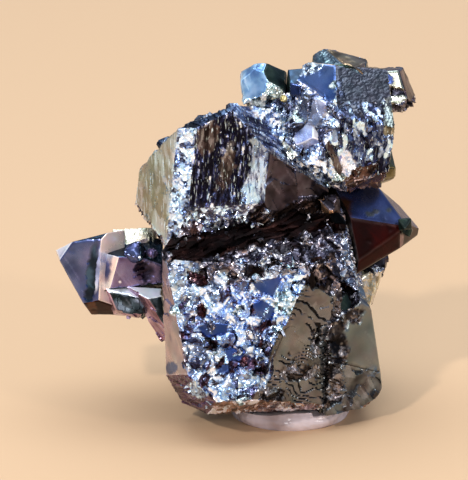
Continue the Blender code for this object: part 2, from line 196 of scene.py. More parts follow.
# Each relief gives a height in mm and a tone from 0 to 1 at (u, v), level and up along a face in mm.
# aim is the slope that turns a facet to the light.
def brokenRelief(u, v, seed, aim, deep=0.38, size=1.8, keen=2.6):
    wu = u + 1.5 * (layeredNoise(u, v, 1.1, seed + 1, 3) - 0.5)
    wv = v + 1.5 * (layeredNoise(u, v, 1.1, seed + 2, 3) - 0.5)
    hill, hillTone = pyramids(wu, wv, size, seed + 3)
    big, bigTone, bigGap, bigLean = facets(wu, wv, size * 0.66, seed + 4, 0.5, aim, 0.35)
    mid, midTone, midGap, _ = facets(wu, wv, size * 0.26, seed + 5, 0.5, aim, 0.3)
    ripple, rippleTone, kind = shells(wu, wv, size * 0.66, seed + 4, 0.28, aim)
    fine, fineTone, *_ = facets(wu, wv, size * 0.12, seed + 6, 0.4, aim, 0.25)
    fold = 1 - np.abs(2 * layeredNoise(wu, wv, size * 0.7, seed + 7, 3) - 1)
    cloud = layeredNoise(u, v, size * 1.2, seed + 8, 2)
    parted = np.clip((layeredNoise(wu, wv, size * 0.5, seed + 9, 2) - 0.48) * 8, 0, 1)
    crack = np.clip(1 - bigGap / 0.16, 0, 1) * parted + 0.25 * np.clip(1 - midGap / 0.10, 0, 1)
    chippy = np.clip((kind - 0.55) * 6, 0, 1)
    height = deep * (0.8 * hill + 0.8 * fold - 0.9 - 0.35 * crack) + 0.6 * big
    height = height + (0.12 + 0.38 * chippy) * mid + 1.1 * (1 - chippy) * ripple
    height = height + (0.05 + 0.25 * chippy) * fine
    # bigLean lightens facets turned toward the light: a painted highlight
    tone = 0.08 * hillTone + 0.24 * bigTone + 0.10 * bigLean + (0.06 + 0.14 * chippy) * midTone
    tone = tone + 0.24 * (1 - chippy) * rippleTone
    tone = tone + (0.03 + 0.09 * chippy) * fineTone + 0.26 * cloud - 0.24 * crack
    middle = 0.06 + 0.12 + 0.03 + 0.13 + 0.5 * (0.09 + 0.23 * chippy + 0.24 * (1 - chippy))
    # painted highlights: bright specks on the finest facets and bright lines along the fold ridges
    glintSpeck = np.clip((fineTone - 0.72) * 7, 0, 1) * np.clip(2.6 * cloud - 0.5, 0.1, 1)
    ridgeGlint = np.clip((fold - 0.9) * 12, 0, 1) * parted
    tone = np.clip((tone - middle) * keen + 0.4, 0, 0.68)
    return height, np.clip(tone + 0.5 * np.maximum(glintSpeck, ridgeGlint), 0, 1)


# thin curved ledges around points beside each cell
def swirlRelief(u, v, seed, aim, size=1.5, pitch=0.22):
    wu = u + 0.35 * (layeredNoise(u, v, 0.8, seed + 1) - 0.5)
    ripple, tone, _ = shells(wu, v, size, seed, pitch, aim)
    fine, fineTone, *_ = facets(wu, v, 0.22, seed + 6, 0.35, aim, 0.25)
    cloud = layeredNoise(u, v, 1.2, seed + 7)
    return 1.4 * ripple + 0.25 * fine, np.clip(0.7 * tone + 0.3 * fineTone + 0.8 * (cloud - 0.5), 0, 1) ** 1.2


def sparkRelief(u, v, seed, aim, deep=0.14, size=0.55, share=0.35):
    wu = u + 0.4 * size * (layeredNoise(u, v, size, seed + 1) - 0.5)
    mid, midTone, _, midLean = facets(wu, v, size, seed + 5, 0.45, aim, share)
    fine, fineTone, _, lean = facets(wu, v, size * 0.4, seed + 6, 0.45, aim, share)
    swell = layeredNoise(u, v, size * 3, seed + 7)
    # midLean and lean lighten facets turned toward the light: a painted highlight
    tone = 0.34 * midTone + 0.26 * fineTone + 0.2 * swell + 0.12 * midLean + 0.08 * lean
    return 0.8 * mid + 0.5 * fine + deep * 1.2 * (swell - 0.5), np.clip((tone - 0.46) * 2.3 + 0.5, 0, 1)


# the tone of the small cells of fine scratches that run across a face
def scratches(u, v, size, seed, stretch):
    return facets(u * 0.8 + v * 0.6, v * 0.8 - u * 0.6, size, seed, 0, stretch=stretch)[1]


# a few large planes at slightly different leans, with fine scratches
def planesRelief(u, v, seed, aim, steep=0.12, size=1.3, stretch=1.6):
    wu = u + 0.6 * (layeredNoise(u, v, 1.5, seed + 1, 3) - 0.5)
    plane, planeTone, *_ = facets(wu + 0.4 * v, v, size, seed + 2, steep, stretch=stretch)
    swell = layeredNoise(u, v, 0.8, seed + 7)
    line = np.clip((scratches(u, v, 0.16, seed + 5, 9) - 0.85) * 8, 0, 1) * 0.3
    return plane, np.clip(0.3 * planeTone + 1.1 * (swell - 0.5) + 0.3 + line, 0, 1)


def smoothRelief(u, v, seed, aim, deep=0.012, size=2.0):
    swell = layeredNoise(u, v, size, seed)
    _, pitTone, gap, _ = facets(u, v, 0.8, seed + 3, 0)
    dent = (pitTone > 0.86) * np.clip(gap * 3 - 0.9, 0, 1)
    line = np.clip((scratches(u, v, 0.14, seed + 5, 14) - 0.93) * 20, 0, 1) * 0.35
    tone = (swell - 0.5) * 1.6 + 0.5 - 0.3 * dent + line
    return deep * 2 * (swell - 0.5) - 0.02 * dent, np.clip(tone, 0, 1)


# growth steps: curved terraces with a dark line along each brink
def stepRelief(u, v, seed, aim, deep=0.04, pitch=0.55, tilt=0.45, bow=5.0):
    t = (v + tilt * u) / pitch + bow * layeredNoise(u, v * 1.2, 2.2, seed, 2)
    t = t + 0.5 * softNoise(u, v, 0.4, seed + 3)
    level, part = np.floor(t), t - np.floor(t)
    broken = np.clip((layeredNoise(u, v, 1.3, seed + 9, 2) - 0.44) * 9, 0, 1)
    brink = np.clip((part - 0.76) / 0.08, 0, 1) * broken
    swell = layeredNoise(u, v, 1.1, seed + 4)
    height = -deep * (level % 4) * 0.4 - deep * brink * 2.4 + 0.03 * (swell - 0.5)
    return height, np.clip(0.66 + 0.9 * (swell - 0.5) - 0.75 * brink + 0.4 * (part < 0.12) * broken, 0, 1)


# long upright ridges; narrow ones are striations, wide ones are columns
def streakRelief(u, v, seed, aim, deep=0.05, size=0.17, stretch=8.0, wander=0.25, keen=3.0, glint=1.0):
    wu = u + wander * (softNoise(u, v, 1.6, seed) - 0.5)
    longAim = (glint * aim[0], 0.1 * glint * aim[1])
    shortAim = (glint * aim[0], 0.5 * glint * aim[1])
    long, longTone, *_ = facets(wu, v, size, seed + 1, 3 * deep, longAim, 0.3, stretch)
    short, shortTone, *_ = facets(wu, v, size * 0.8, seed + 2, 3 * deep, shortAim, 0.25, stretch * 0.4)
    wide = layeredNoise(u, v, size * 5, seed + 4)
    tone = np.clip(0.62 * longTone + 0.38 * shortTone + 0.5 * (wide - 0.5), 0, 1) ** keen
    return 0.6 * long + 0.45 * short + 0.7 * deep * tone, np.clip(tone * 1.4, 0, 1)


def grainRelief(u, v, seed, aim, deep=0.03, size=0.13):
    aim = (0.2 * aim[0], 0.2 * aim[1])
    fine, fineTone, *_ = facets(u, v, size, seed, 0.14, aim, 0.1)
    pit, pitTone, *_ = facets(u, v, size * 3, seed + 2, 0.06, aim, 0.1)
    swell = layeredNoise(u, v, 1.3, seed + 5)
    tone = 0.35 * fineTone + 0.2 * pitTone + 0.45 * swell
    return 0.6 * fine + 0.25 * pit + deep * 1.6 * (swell - 0.5), np.clip(tone, 0, 1)


def linear(colour):
    c = np.asarray(colour, float) / 255
    return np.where(c <= 0.04045, c / 12.92, ((c + 0.055) / 1.055) ** 2.4)


# A finish has the material that carries it, a relief with its own values, the longest mesh edge in mm,
# roughness and colours (sRGB 0 to 255) from dark to bright tone, and whether every small facet is flat.
# gain lightens or darkens the colours, drift is how far they wander, the edge value sets how strongly a
# painted highlight lightens the crystals' edges, and grain turns the relief.
def finish(material, relief, edge, rough, colours, gain=(1, 1, 1), drift=0.1, worn=0.5, flat=False,
           grain=((1, 0), (0, 1))):
    stops = np.clip(np.array([linear(c) for c in colours]) * np.array(gain), 0, 1)
    return {"material": material, "relief": relief, "edge": edge, "rough": rough, "stops": stops,
            "drift": drift, "worn": worn, "flat": flat, "grain": grain}


finishes = {
    "silverBroken": finish("broken", (brokenRelief,), edge=0.11, rough=(0.30, 0.12),
        gain=(1.9, 1.84, 1.8), drift=0.08, colours=[(32, 18, 24), (56, 50, 72), (82, 96, 132),
        (102, 124, 160), (130, 154, 186), (190, 206, 228), (250, 250, 255)]),
    "darkBroken": finish("broken", (brokenRelief, 0.34, 1.8), edge=0.12, rough=(0.35, 0.18),
        gain=(0.7, 0.65, 0.66), drift=0.08, colours=[(18, 13, 18), (42, 41, 50), (66, 66, 80),
        (98, 98, 112), (138, 139, 152), (184, 184, 194), (240, 236, 236)]),
    "whiteBroken": finish("broken", (sparkRelief,), edge=0.13, rough=(0.25, 0.10), drift=0.06,
        colours=[(60, 56, 88), (104, 110, 144), (144, 164, 196), (178, 204, 232), (210, 236, 255),
        (235, 252, 255)]),
    "taupeSteps": finish("gloss", (stepRelief,), edge=0.12, rough=(0.34, 0.26), gain=(0.88, 1.08, 1.3),
        worn=0.0, colours=[(26, 20, 17), (66, 56, 50), (108, 97, 88), (128, 116, 107), (140, 129, 120)]),
    "peachGloss": finish("gloss", (smoothRelief,), edge=0.22, rough=(0.34, 0.24), gain=(1.15, 1.4, 1.4),
        colours=[(126, 112, 128), (164, 140, 146), (196, 168, 164)]),
    "plumStriae": finish("striated", (streakRelief, 0.05, 0.22, 7, 0.2, 1.0), edge=0.12, rough=(0.3, 0.2),
        gain=(0.9, 1.0, 1.3), grain=((0, 1), (1, 0)), colours=[(34, 18, 24), (90, 60, 70),
        (140, 104, 116)]),
    "groundRim": finish("striated", (streakRelief, 0.08, 0.5, 3, 0.6, 1.0), edge=0.11, rough=(0.30, 0.16),
        gain=(0.95, 0.98, 1.1), colours=[(46, 30, 26), (82, 58, 50), (112, 84, 74), (150, 122, 108),
        (200, 170, 152), (244, 240, 240)]),
    "oliveGloss": finish("gloss", (smoothRelief,), edge=0.18, rough=(0.36, 0.28), gain=(1.2, 1.5, 1.7),
        colours=[(86, 80, 72), (108, 101, 93), (118, 111, 102)]),
    "oliveMottle": finish("gloss", (planesRelief, 0.22, 0.8), edge=0.13, rough=(0.36, 0.22),
        gain=(1.25, 1.6, 2.1), colours=[(40, 31, 26), (68, 60, 54), (96, 88, 79), (112, 105, 97),
        (130, 122, 114)]),
    "oliveStreaks": finish("striated", (streakRelief, 0.02, 0.4, 6, 0.8, 1.0, 0.15), edge=0.14,
        rough=(0.34, 0.18), gain=(0.95, 1.15, 1.35), colours=[(134, 128, 108), (148, 142, 122),
        (160, 154, 138), (184, 182, 172)]),
    "whiteStrip": finish("broken", (sparkRelief, 0.10, 0.4), edge=0.10, rough=(0.22, 0.08), flat=True,
        gain=(1.0, 1.18, 1.42), drift=0.06, colours=[(40, 40, 62), (96, 102, 126), (142, 152, 176),
        (178, 190, 212), (212, 223, 240), (250, 252, 255)]),
    "blackStriae": finish("striated", (streakRelief, 0.06, 0.14, 9, 0.5, 3.6), edge=0.1,
        rough=(0.36, 0.12), gain=(1.3, 1.3, 1.7), drift=0.05, colours=[(7, 7, 18), (19, 20, 38),
        (36, 42, 66), (74, 86, 118), (150, 170, 200), (226, 244, 255)]),
    "brownGloss": finish("gloss", (planesRelief, 0.16, 1.3), edge=0.14, rough=(0.34, 0.26),
        gain=(1.2, 1.5, 2.2), colours=[(26, 18, 17), (46, 36, 35), (66, 54, 52), (90, 78, 76)]),
    "sparkBand": finish("broken", (sparkRelief, 0.14, 0.36), edge=0.10, rough=(0.28, 0.10), flat=True,
        gain=(1.0, 1.15, 1.45), drift=0.06, colours=[(26, 22, 28), (48, 44, 52), (70, 68, 80),
        (98, 98, 114), (140, 140, 158), (230, 232, 242)]),
    # a very dark umber for undersides and crevices: painted shade
    "umberUnder": finish("deep", (planesRelief, 0.25, 0.4, 6), edge=0.15, rough=(0.42, 0.3),
        gain=(0.4, 0.22, 0.2), grain=((-0.71, 0.71), (0.71, 0.71)), colours=[(8, 4, 5), (18, 10, 10),
        (32, 21, 20), (54, 40, 37), (104, 88, 82)]),
    "redSpark": finish("broken", (sparkRelief,), edge=0.10, rough=(0.32, 0.16), flat=True,
        colours=[(26, 16, 22), (54, 38, 44), (80, 66, 72), (120, 108, 116), (210, 206, 214)]),
    "umberStreaks": finish("striated", (streakRelief, 0.10, 0.3, 5, 0.5, 2.2), edge=0.12,
        rough=(0.42, 0.2), flat=True, gain=(0.8, 0.7, 0.7), grain=((0.5, -0.87), (0.87, 0.5)),
        colours=[(12, 6, 8), (24, 16, 17), (38, 30, 30), (64, 56, 56), (120, 116, 120)]),
    "navyCrest": finish("broken", (streakRelief, 0.02, 0.3, 5, 0.5, 1.2, 0.4), edge=0.11,
        rough=(0.34, 0.18), gain=(0.28, 0.3, 0.34), grain=((0.3, 1), (1, 0)), colours=[(14, 18, 28),
        (26, 34, 52), (44, 56, 80), (70, 86, 112), (120, 136, 160)]),
    "slateBevel": finish("striated", (streakRelief, 0.035, 0.2, 8, 0.4, 1.7), edge=0.11,
        rough=(0.36, 0.2), gain=(1.2, 1.5, 1.85), drift=0.05, grain=((0.6, 0.8), (0.8, -0.6)),
        colours=[(30, 28, 38), (60, 60, 74), (88, 90, 108), (118, 122, 140), (168, 174, 188)]),
    "royalGloss": finish("gloss", (smoothRelief, 0.015, 1.4), edge=0.12, rough=(0.30, 0.22),
        gain=(1.18, 1.1, 1.0), colours=[(50, 72, 124), (64, 92, 152), (96, 122, 180)]),
    "slateGrain": finish("broken", (grainRelief, 0.02, 0.16), edge=0.10, rough=(0.40, 0.25), flat=True,
        gain=(0.88, 0.74, 0.66), colours=[(38, 42, 54), (66, 71, 86), (82, 90, 106), (100, 108, 124),
        (140, 147, 160)]),
    "linkRough": finish("broken", (brokenRelief, 0.22, 1.1), edge=0.11, rough=(0.32, 0.14),
        gain=(1.24, 1.3, 1.42), drift=0.14, colours=[(30, 32, 46), (66, 68, 88), (96, 102, 122),
        (124, 134, 156), (160, 172, 192), (226, 233, 244)]),
    "columns": finish("striated", (streakRelief, 0.20, 0.34, 3.6, 0.6, 1.7), edge=0.10,
        rough=(0.34, 0.12), flat=True, gain=(1.06, 1.06, 1.24), drift=0.06, colours=[(12, 10, 22),
        (30, 31, 52), (52, 59, 88), (82, 96, 126), (120, 140, 168), (168, 194, 220), (226, 246, 255)]),
    "paleStriae": finish("striated", (streakRelief, 0.05, 0.2, 7, 0.2, 1.0), edge=0.11, rough=(0.34, 0.2),
        gain=(0.75, 0.75, 0.72), colours=[(50, 48, 46), (110, 110, 98), (160, 162, 146),
        (206, 208, 198)]),
    "maroonGloss": finish("deep", (smoothRelief, 0.02, 1.6), edge=0.16, rough=(0.36, 0.28),
        gain=(0.92, 0.21, 0.18), colours=[(22, 8, 7), (34, 13, 10), (50, 22, 15)]),
    "umberGloss": finish("gloss", (smoothRelief,), edge=0.14, rough=(0.36, 0.26), colours=[(56, 34, 26),
        (84, 50, 34), (112, 70, 50)]),
    "pinkGloss": finish("gloss", (smoothRelief,), edge=0.14, rough=(0.32, 0.22), colours=[(110, 84, 86),
        (176, 140, 134), (204, 172, 162)]),
    "lilacSlate": finish("gloss", (smoothRelief, 0.03, 1.2), edge=0.12, rough=(0.34, 0.24),
        gain=(0.9, 1.15, 1.5), colours=[(66, 66, 90), (92, 92, 118), (120, 116, 144)]),
    "peachBlotch": finish("gloss", (smoothRelief,), edge=0.12, rough=(0.32, 0.22), gain=(1.45, 1.5, 1.5),
        colours=[(176, 164, 168), (206, 186, 180), (228, 202, 190)]),
    "plumGloss": finish("gloss", (smoothRelief, 0.02, 1.4), edge=0.12, rough=(0.32, 0.22),
        gain=(1.45, 2.2, 2.7), colours=[(70, 44, 62), (100, 74, 94), (124, 98, 118)]),
    "tealDark": finish("gloss", (smoothRelief, 0.03, 0.9), edge=0.10, rough=(0.28, 0.16),
        gain=(1.0, 1.0, 1.1), colours=[(16, 22, 28), (38, 54, 68), (70, 98, 122)]),
    # near white: a painted highlight for small faces and specks that catch the light
    "whiteTip": finish("gloss", (smoothRelief, 0.01, 1.0), edge=0.11, rough=(0.2, 0.08),
        colours=[(206, 210, 222), (238, 240, 248), (255, 255, 255)]),
    "bladeGreen": finish("deep", (planesRelief, 0.15, 0.5), edge=0.09, rough=(0.3, 0.16),
        gain=(0.95, 0.85, 0.95), colours=[(14, 20, 20), (40, 52, 52), (112, 128, 134)]),
    "bladePink": finish("gloss", (planesRelief, 0.1, 0.8), edge=0.10, rough=(0.3, 0.18),
        gain=(0.75, 0.7, 0.8), colours=[(130, 96, 110), (188, 156, 172), (226, 206, 220)]),
    "shoulderSpark": finish("broken", (sparkRelief, 0.12, 0.5), edge=0.10, rough=(0.3, 0.12), flat=True,
        gain=(2.1, 2.4, 2.6), colours=[(24, 20, 28), (47, 43, 54), (66, 66, 76), (88, 88, 100),
        (120, 122, 134), (205, 208, 222)]),
    "palePlate": finish("striated", (streakRelief, 0.03, 0.3, 4, 0.3, 1.0), edge=0.10, rough=(0.3, 0.14),
        gain=(1.2, 1.15, 1.15), colours=[(110, 108, 88), (170, 166, 140), (224, 220, 198)]),
    "oliveKnob": finish("gloss", (smoothRelief, 0.04, 1.0), edge=0.11, rough=(0.32, 0.2),
        colours=[(58, 56, 38), (98, 94, 64), (146, 140, 104)]),
    "cyanGloss": finish("gloss", (smoothRelief, 0.02, 1.0), edge=0.10, rough=(0.3, 0.18),
        colours=[(104, 142, 200), (140, 186, 228), (196, 224, 244)]),
    "greenDark": finish("deep", (smoothRelief, 0.03, 0.9), edge=0.10, rough=(0.3, 0.2),
        colours=[(14, 20, 22), (26, 38, 36), (48, 62, 54)]),
    "paleEtched": finish("broken", (sparkRelief, 0.06, 0.5), edge=0.10, rough=(0.32, 0.16), flat=True,
        colours=[(70, 78, 84), (128, 140, 140), (176, 190, 184), (226, 232, 228)]),
    "oliveBeige": finish("broken", (smoothRelief, 0.04, 0.9), edge=0.10, rough=(0.34, 0.2),
        gain=(1.5, 1.05, 0.82), colours=[(70, 68, 56), (112, 110, 92), (148, 148, 128), (206, 204, 176)]),
    "yellowGrain": finish("gloss", (smoothRelief,), edge=0.10, rough=(0.4, 0.3), colours=[(140, 126, 78),
        (184, 168, 110), (214, 204, 160)]),
    "navyGloss": finish("gloss", (smoothRelief,), edge=0.10, rough=(0.28, 0.16), colours=[(18, 24, 44),
        (34, 46, 84), (62, 82, 134)]),
    "weathered": finish("broken", (brokenRelief, 0.2, 1.7), edge=0.21, rough=(0.36, 0.18),
        colours=[(24, 22, 30), (50, 50, 62), (78, 80, 94), (108, 112, 126), (146, 150, 164),
        (214, 218, 228)]),
    "backGloss": finish("gloss", (smoothRelief, 0.03, 1.6), edge=0.3, rough=(0.36, 0.24),
        colours=[(54, 58, 66), (84, 88, 90), (120, 118, 106)]),
    "royalSmooth": finish("gloss", (smoothRelief, 0.015, 1.4), edge=0.14, rough=(0.30, 0.22),
        gain=(1.25, 0.95, 0.95), colours=[(46, 58, 92), (60, 78, 124), (76, 98, 146)]),
    "brownStriae": finish("striated", (streakRelief, 0.03, 0.2, 9, 0.5, 1.6, 0.3), edge=0.1,
        rough=(0.34, 0.2), colours=[(30, 23, 25), (50, 42, 44), (72, 63, 65), (98, 90, 94),
        (150, 148, 156)]),
    "darkPits": finish("broken", (brokenRelief, 0.16, 1.3), edge=0.12, rough=(0.42, 0.32),
        gain=(1.0, 1.05, 1.15), colours=[(10, 7, 8), (24, 19, 20), (46, 40, 39), (74, 67, 64),
        (104, 96, 90), (128, 120, 114), (150, 143, 138)]),
    "recessBrown": finish("gloss", (planesRelief, 0.3, 0.7), edge=0.1, rough=(0.34, 0.22),
        gain=(1.9, 1.95, 2.0), colours=[(28, 19, 17), (56, 42, 38), (92, 72, 66), (146, 124, 116)]),
    "iceGloss": finish("gloss", (smoothRelief, 0.02, 1.0), edge=0.12, rough=(0.32, 0.2),
        gain=(1.5, 1.5, 1.6), colours=[(124, 134, 168), (164, 174, 204), (206, 214, 236)]),
    "slatePlate": finish("gloss", (planesRelief, 0.1, 0.6), edge=0.12, rough=(0.32, 0.2),
        gain=(1.5, 1.5, 1.6), colours=[(60, 64, 76), (94, 98, 112), (138, 142, 156)]),
    "lilacPlate": finish("gloss", (planesRelief, 0.1, 0.7), edge=0.12, rough=(0.32, 0.2),
        gain=(2.1, 2.2, 2.4), colours=[(92, 94, 108), (124, 126, 142), (168, 170, 186)]),
    "lathGrey": finish("gloss", (planesRelief, 0.15, 0.5, 3), edge=0.12, rough=(0.32, 0.2),
        colours=[(46, 38, 42), (84, 74, 78), (134, 124, 130)]),
    "knobBand": finish("gloss", (smoothRelief, 0.02, 1.0), edge=0.12, rough=(0.32, 0.2),
        colours=[(44, 32, 42), (74, 60, 70), (128, 116, 126)]),
    "knobOlive": finish("gloss", (smoothRelief, 0.02, 1.0), edge=0.12, rough=(0.32, 0.2),
        colours=[(92, 96, 88), (130, 134, 122), (172, 176, 162)]),
    "hazelGloss": finish("gloss", (planesRelief, 0.2, 0.6), edge=0.12, rough=(0.32, 0.2),
        gain=(1.5, 1.5, 1.5), colours=[(84, 60, 44), (142, 108, 80), (190, 158, 126)]),
    "silverSwirl": finish("broken", (swirlRelief,), edge=0.12, rough=(0.3, 0.12), colours=[(30, 18, 26),
        (60, 62, 88), (100, 116, 146), (160, 176, 200), (226, 232, 246), (255, 255, 255)]),
    "tealGrain": finish("broken", (sparkRelief, 0.06, 0.35), edge=0.12, rough=(0.34, 0.16), drift=0.06,
        colours=[(40, 44, 56), (84, 108, 124), (120, 150, 164), (170, 196, 206), (230, 244, 250)]),
    "maroonPit": finish("broken", (sparkRelief, 0.14, 0.5), edge=0.1, rough=(0.36, 0.2),
        colours=[(22, 7, 9), (44, 20, 24), (70, 42, 46), (120, 96, 104)]),
    # white striae: a painted highlight where the light catches a striated face
    "whiteStriae": finish("striated", (streakRelief, 0.05, 0.2, 6, 0.4, 1.0), edge=0.1, rough=(0.3, 0.1),
        gain=(0.7, 0.88, 1.05), colours=[(36, 32, 58), (96, 100, 136), (168, 182, 214), (228, 240, 255),
        (255, 255, 255)]),
    "slateCap": finish("broken", (grainRelief, 0.05, 0.2), edge=0.1, rough=(0.36, 0.2),
        colours=[(34, 40, 46), (62, 74, 84), (92, 108, 118), (140, 158, 164), (200, 214, 216)]),
    "lilacWhite": finish("broken", (sparkRelief, 0.08, 0.36), edge=0.1, rough=(0.34, 0.18),
        gain=(1.6, 2.4, 3.4), colours=[(110, 100, 124), (164, 156, 178), (206, 200, 218), (240, 238, 248),
        (255, 255, 255)]),
    "royalFlat": finish("gloss", (smoothRelief, 0.015, 1.4), edge=0.12, rough=(0.34, 0.26),
        colours=[(42, 64, 118), (54, 78, 142), (86, 110, 170)]),
    "paleRough": finish("broken", (sparkRelief, 0.16, 0.5), edge=0.1, rough=(0.34, 0.16),
        gain=(1.22, 1.46, 1.95), drift=0.07, colours=[(30, 32, 44), (70, 76, 94), (118, 128, 146),
        (166, 180, 196), (232, 244, 250)]),
    "hidden": finish("gloss", (smoothRelief,), edge=0.6, rough=(0.4, 0.3), colours=[(30, 26, 26),
        (50, 44, 42), (70, 62, 58)]),
}


def dressed(look, u, v, seed, aim):
    relief, *values = look["relief"]
    (uu, uv), (vu, vv) = look["grain"]
    height, tone = relief(uu * u + uv * v, vu * u + vv * v, seed, aim, *values)
    stops = look["stops"]
    at = np.linspace(0, 1, len(stops))
    colour = np.stack([np.interp(tone, at, stops[:, i]) for i in range(3)], -1)
    warm = look["drift"] * (layeredNoise(u, v, 1.0, seed + 91) - 0.5) * 2
    green = look["drift"] * (layeredNoise(u, v, 0.8, seed + 95) - 0.5) * 2
    wander = warm[:, None] * np.array([1.0, -0.2, -0.9]) + green[:, None] * np.array([-0.8, 0.7, 0.1])
    colour = colour * np.exp(wander)
    rough = look["rough"][0] + (look["rough"][1] - look["rough"][0]) * tone
    return height, np.concatenate([colour, rough[:, None]], 1)


# patches of a face, between corners or round a middle, at pixels of the photo
def area(look, *corners, **more):
    return {"finish": look, "corners": corners, **more}


def spot(look, at, reach, **more):
    return {"finish": look, "at": at, "reach": reach, **more}


# how far inside a patch of the face each point is: 1 inside, 0 outside, with a ragged border
def patchMask(px, py, u, v, patch, seed):
    ragged = patch.get("ragged", 2.0)
    wx = px + ragged * 2 * (layeredNoise(u, v, 0.5, seed + 31) - 0.5)
    wy = py + ragged * 2 * (layeredNoise(u, v, 0.5, seed + 47) - 0.5)
    if "corners" in patch:
        corners = np.array(patch["corners"], float)
        middle = corners.mean(0)
        out = np.full(px.shape, -9e9)
        for a, b in zip(corners, np.roll(corners, -1, 0)):
            across = np.array([b[1] - a[1], a[0] - b[0]])
            across /= np.hypot(*across)
            if (middle - a) @ across > 0:
                across = -across
            out = np.maximum(out, (wx - a[0]) * across[0] + (wy - a[1]) * across[1])
    else:
        turn = math.radians(patch.get("turn", 0))
        x, y = wx - patch["at"][0], wy - patch["at"][1]
        x, y = x * math.cos(turn) + y * math.sin(turn), y * math.cos(turn) - x * math.sin(turn)
        rx, ry = patch["reach"]
        out = (np.hypot(x / rx, y / ry) - 1) * min(rx, ry)
    return np.clip(0.5 - out / patch.get("soft", 1.0), 0, 1)


# a block cut back to a crystal's faces, each face keeping its number
def cutCrystal(bm, layer, centre, planes, firstFace):
    reach = 30.0     # mm, well past any face
    verts = bmesh.ops.create_cube(bm, size=2 * reach, matrix=Matrix.Translation(centre))["verts"]
    for i, (normal, distance) in enumerate(planes):
        # dicts keep the order they are filled in, so every run makes the same mesh
        edges = dict.fromkeys(e for v in verts for e in v.link_edges)
        faces = dict.fromkeys(f for v in verts for f in v.link_faces)
        cut = bmesh.ops.bisect_plane(bm, geom=[*verts, *edges, *faces], dist=1e-6, plane_no=normal,
                                     plane_co=Vector(centre) + normal * distance, clear_outer=True)
        verts = [v for v in verts if v.is_valid]
        verts += [v for v in cut["geom_cut"] if isinstance(v, bmesh.types.BMVert) and v not in verts]
        rim = [e for e in cut["geom_cut"] if isinstance(e, bmesh.types.BMEdge)]
        if rim:
            capped = bmesh.ops.contextual_create(bm, geom=rim)
            for f in capped["faces"]:
                f[layer] = firstFace + i
    return verts


# cuts every edge in half until none is longer than the finish of its faces asks
def refine(bm, layer, longest):
    bmesh.ops.triangulate(bm, faces=bm.faces[:])
    limit = 6.0      # mm, longer than any edge needs to be at first
    while True:
        long = []
        for e in bm.edges:
            want = min((longest[f[layer]] for f in e.link_faces), default=9)
            if e.calc_length() > max(limit, want):
                long.append(e)
        if long:
            bmesh.ops.subdivide_edges(bm, edges=long, cuts=1, use_grid_fill=True)
            bmesh.ops.triangulate(bm, faces=[f for f in bm.faces if len(f.verts) > 3])
        if limit < min(longest):
            break
        limit /= 2


def turned(turns):
    turn = Matrix.Rotation(math.radians(turns[2]), 3, "Z") @ Matrix.Rotation(math.radians(turns[1]), 3, "Y")
    return turn @ Matrix.Rotation(math.radians(turns[0]), 3, "X")


# the faces of an octahedron with its corners cut flat
def octahedronPlanes(distance, kept, turns):
    turn = turned(turns)
    sides = [Vector((x, y, z)) for x in (-1, 1) for y in (-1, 1) for z in (-1, 1)]
    planes = [(turn @ side.normalized(), distance) for side in sides]
    if kept < 1:
        corners = [Vector(axis) * side for axis in ((1, 0, 0), (0, 1, 0), (0, 0, 1)) for side in (-1, 1)]
        planes += [(turn @ corner, distance * math.sqrt(3) * kept) for corner in corners]
    return planes


# small octahedra that break through a face, sunk by part of their radius
def hillocks(crystal, face, count, radii, spacing, choices, seed, sunk=0.45):
    names = list(crystal["faces"])
    planes = [(facing(a, e), d) for a, e, d, look in crystal["faces"].values()]
    probe = bmesh.new()
    layer = probe.faces.layers.int.new("faceNumber")
    cutCrystal(probe, layer, Vector(crystal["centre"]), planes, 1)
    chosen = [f for f in probe.faces if f[layer] == names.index(face) + 1]
    corners = [v.co.copy() for v in chosen[0].verts]
    probe.free()
    normal = planes[names.index(face)][0]
    chance = random.Random(seed)
    fans = [(corners[0], corners[i], corners[i + 1]) for i in range(1, len(corners) - 1)]
    areas = [(b - a).cross(c - a).length for a, b, c in fans]
    places, grown = [], []
    for _ in range(count * 30):
        a, b, c = chance.choices(fans, areas)[0]
        s, t = chance.random(), chance.random()
        if s + t > 1:
            s, t = 1 - s, 1 - t
        place = a + (b - a) * s + (c - a) * t
        if all((place - other).length > spacing for other in places):
            places.append(place)
            radius = radii[0] + (radii[1] - radii[0]) * chance.random() ** 2
            turns = tuple(chance.uniform(-45, 45) for _ in range(3))
            looks = [chance.choice(choices) for _ in range(8)]
            grown.append({"centre": place - normal * radius * sunk, "finish": looks,
                          "octahedron": (radius / math.sqrt(3), 1.0, turns)})
        if len(places) == count:
            break
    return grown


materialOrder = ("broken", "gloss", "striated", "deep")
sharpAngle = 28     # degrees between small facets, past which the edge between them is sharp
